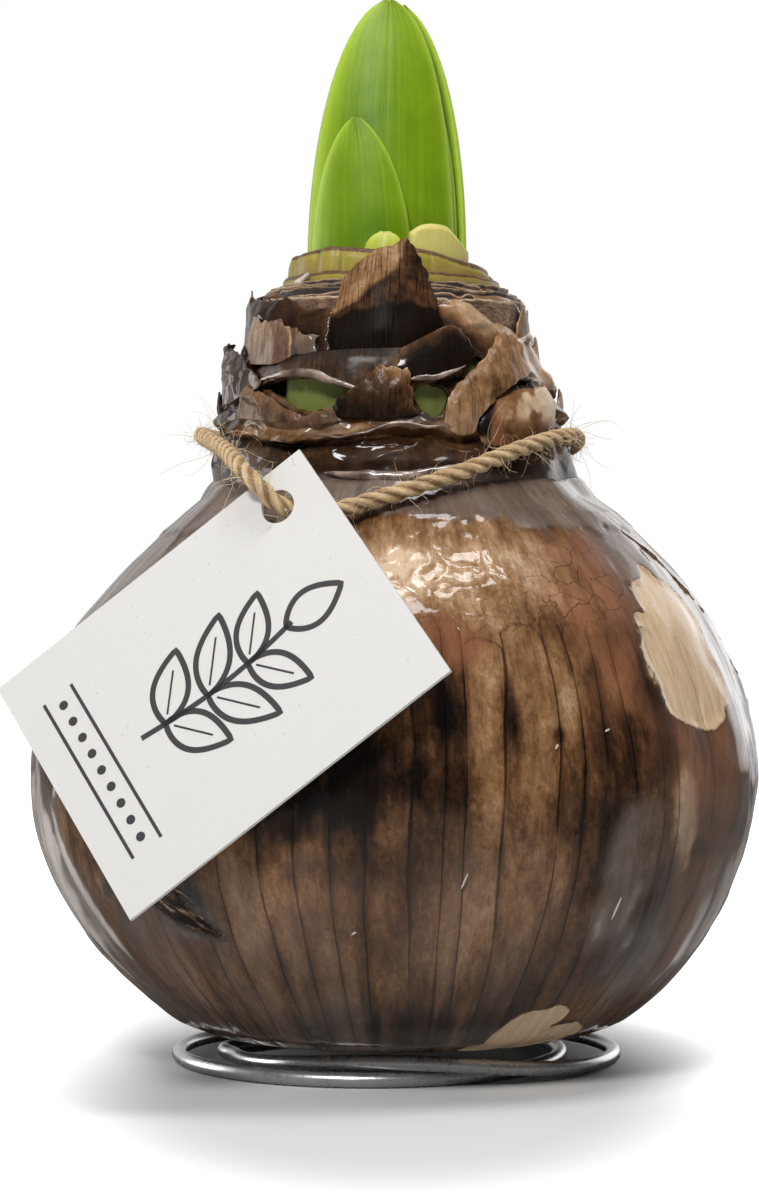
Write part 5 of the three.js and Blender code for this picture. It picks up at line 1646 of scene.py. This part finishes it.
# ---- twine ----
def strand_radius(count, sides, phase=0.0):
    """The outline of three twisted strands at each point and side, and how deep it lies."""
    pitch, offset, strand = 8.6, 0.56, 0.70
    turn = np.arange(sides)[None] * 2 * math.pi / sides
    twist = np.arange(count)[:, None] * TWINE_STEP * 2 * math.pi / pitch + phase
    best = np.zeros((count, sides))
    for k in range(3):
        away = turn - twist - k * 2 * math.pi / 3
        inside = np.clip(strand ** 2 - (offset * np.sin(away)) ** 2, 0, None)
        reach = np.where(np.cos(away) > 0, offset * np.cos(away) + np.sqrt(inside), 0)
        best = np.maximum(best, reach)
    groove = np.clip((offset + strand - best) / 0.35, 0, 1)
    return np.maximum(best, 0.85), groove, np.mod(turn - twist, 2 * math.pi)


def make_twine(look):
    """The twine and the line that it follows."""
    line = smooth_line(TWINE_ROUTE, TWINE_STEP)
    sides = 48
    radius, groove, lay = strand_radius(len(line), sides)
    run = np.repeat(np.arange(len(line))[:, None] * TWINE_STEP, sides, axis=1)
    fibre = np.stack([run * 0.30, 2.6 * np.cos(lay), 2.6 * np.sin(lay)], axis=-1)
    shape = pipe(line, radius + 0.075 * wander(fibre, 1.0, 3, 3), sides)
    fields = {"groove": groove, "lay": lay, "run": run}
    twine = add_piece("jute_twine", shape, look, fields, replaces=("twine",))
    return twine, line


def hair(spot, way, length, droop, rng, thick):
    """One loose fibre: a thin bent tube."""
    count = 8
    points = [np.array(spot, float)]
    way = np.array(way, float)
    way /= np.linalg.norm(way)
    curl = np.array([rng.gauss(0, 1) for _ in range(3)]) * 0.24
    bend = np.array([rng.gauss(0, 1) for _ in range(3)]) * 0.12
    for number in range(count - 1):
        way = way + curl + bend * (number - 3) + np.array([0, 0, -droop])
        way /= np.linalg.norm(way)
        points.append(points[-1] + way * length / (count - 1))
    radius = thick * np.linspace(1.0, 0.35, count)
    return pipe(np.array(points), radius, 3)


# Tangles of fibres: from where to where along the twine in mm, how many, and their lengths.
TANGLES = [(58, 92, 46, (3, 11)), (120, 150, 26, (3, 10)), (92, 108, 12, (2.5, 6))]


def make_fuzz(line, look):
    """Loose fibres all along the twine, with tangles near the tag and on the right."""
    rng = random.Random(7)
    tangents, side, up = transport(line)
    parts = []
    last = len(line) - 3

    def sprout(index, lengths, spread, droop, thick):
        turn = rng.uniform(0, 2 * math.pi)
        out = side[index] * math.cos(turn) + up[index] * math.sin(turn)
        run = tangents[index] * rng.choice((-1, 1)) * spread
        length = rng.uniform(*lengths)
        parts.append(hair(line[index] + out * TWINE_R * 0.9, out + run, length, droop, rng, thick))

    for _ in range(800):
        sprout(rng.randint(3, last), (0.9, 3.2), rng.uniform(0.8, 4.0), 0.02, 0.034)
    share = len(line) / TWINE_LENGTH
    for start, end, count, lengths in TANGLES:
        for _ in range(count):
            place = int(rng.uniform(start, end) * share)
            sprout(min(place, last), lengths, rng.uniform(0.2, 1.6), 0.07, 0.045)
    return add_piece("twine_fibres", several(parts), look)


def make_knot(look, fuzz_look):
    """Two tight turns at the back and two cut tails that fray at their ends."""
    rng = random.Random(11)
    parts, grooves, lines = [], [], []
    for side in (-1, 1):
        angle = np.radians(32 * np.arange(11) - 70)
        turn = np.stack([side * (0.9 - 0.6 * np.sin(angle)), 30.6 + 1.7 * np.cos(angle),
                         90.6 + 1.7 * np.sin(angle)], axis=1)
        lines.append(smooth_line(turn, TWINE_STEP))
    for rows in KNOT_TAILS:
        lines.append(smooth_line([on_bearing(*row) for row in rows], TWINE_STEP))
    for number, line in enumerate(lines):
        radius, groove, _ = strand_radius(len(line), 30, number)
        shrink = np.clip((len(line) - np.arange(len(line))) / 6, 0.45, 1)[:, None]
        parts.append(pipe(line, radius * (shrink if number > 1 else 1), 30))
        grooves.append(groove.ravel())
    knot = add_piece("jute_knot", several(parts), look,
                     {"groove": np.concatenate(grooves)}, replaces=("twine_knot",))
    hairs = []
    for line in lines[2:]:
        way = line[-1] - line[-6]
        way /= np.linalg.norm(way)
        for _ in range(26):
            spread = np.array([rng.gauss(0, 0.35) for _ in range(3)])
            start = line[-3] + 0.6 * spread
            hairs.append(hair(start, way + spread, rng.uniform(1.2, 3.0), 0.0, rng, 0.05))
    frays = add_piece("knot_frays", several(hairs), fuzz_look)
    return knot, frays


# ---- the whole object ----
def main():
    make_camera()
    make_world()
    bpy.context.scene.view_settings.view_transform = "Standard"
    for name, lamp in LAMPS.items():
        make_softbox(name, *lamp)
    make_floor()

    jute = jute_look("jute", pale=False)
    fibre = jute_look("jute_fibre", pale=True)
    twine, line = make_twine(jute)
    fuzz = make_fuzz(line, fibre)
    knot, frays = make_knot(jute, fibre)

    skins = {name: tunic_look(name, *settings) for name, settings in SKINS.items()}
    make_body(skins["waxed_tunic"])
    make_film_edges(skins["flap_tunic"])
    make_sliver(fleck_look())
    make_flecks(fleck_look())
    make_neck(skins["neck_tunic"])
    make_paper_edges(paper_look())
    for name, flap in FLAPS.items():
        make_flap(name, skins[FLAP_SKINS.get(name, "flap_tunic")], **flap)
    make_lips(lip_look())

    olive = flesh_look("fleshy_scale", (0.21, 0.185, 0.022), (0.38, 0.31, 0.055),
                       (0.29, 0.20, 0.075))
    pale = flesh_look("pale_scale", (0.50, 0.46, 0.11), (0.70, 0.62, 0.21), (0.50, 0.42, 0.15))
    make_scales(olive)
    make_outer_scale(olive)
    make_scale_tip(pale)
    make_bud(leaf_look("young_bud", (0.36, 0.44, 0.020), (0.56, 0.60, 0.075), (0.72, 0.72, 0.30)))
    green = leaf_look("leaf", (0.098, 0.20, 0.003), (0.19, 0.31, 0.006), (0.40, 0.56, 0.055))
    for name, leaf in LEAVES.items():
        make_leaf(name, green, **leaf)

    make_stand(wire_look())
    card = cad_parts["tag"]
    card.data.materials.clear()
    card.data.materials.append(card_look())
    make_print(ink_look())


main()
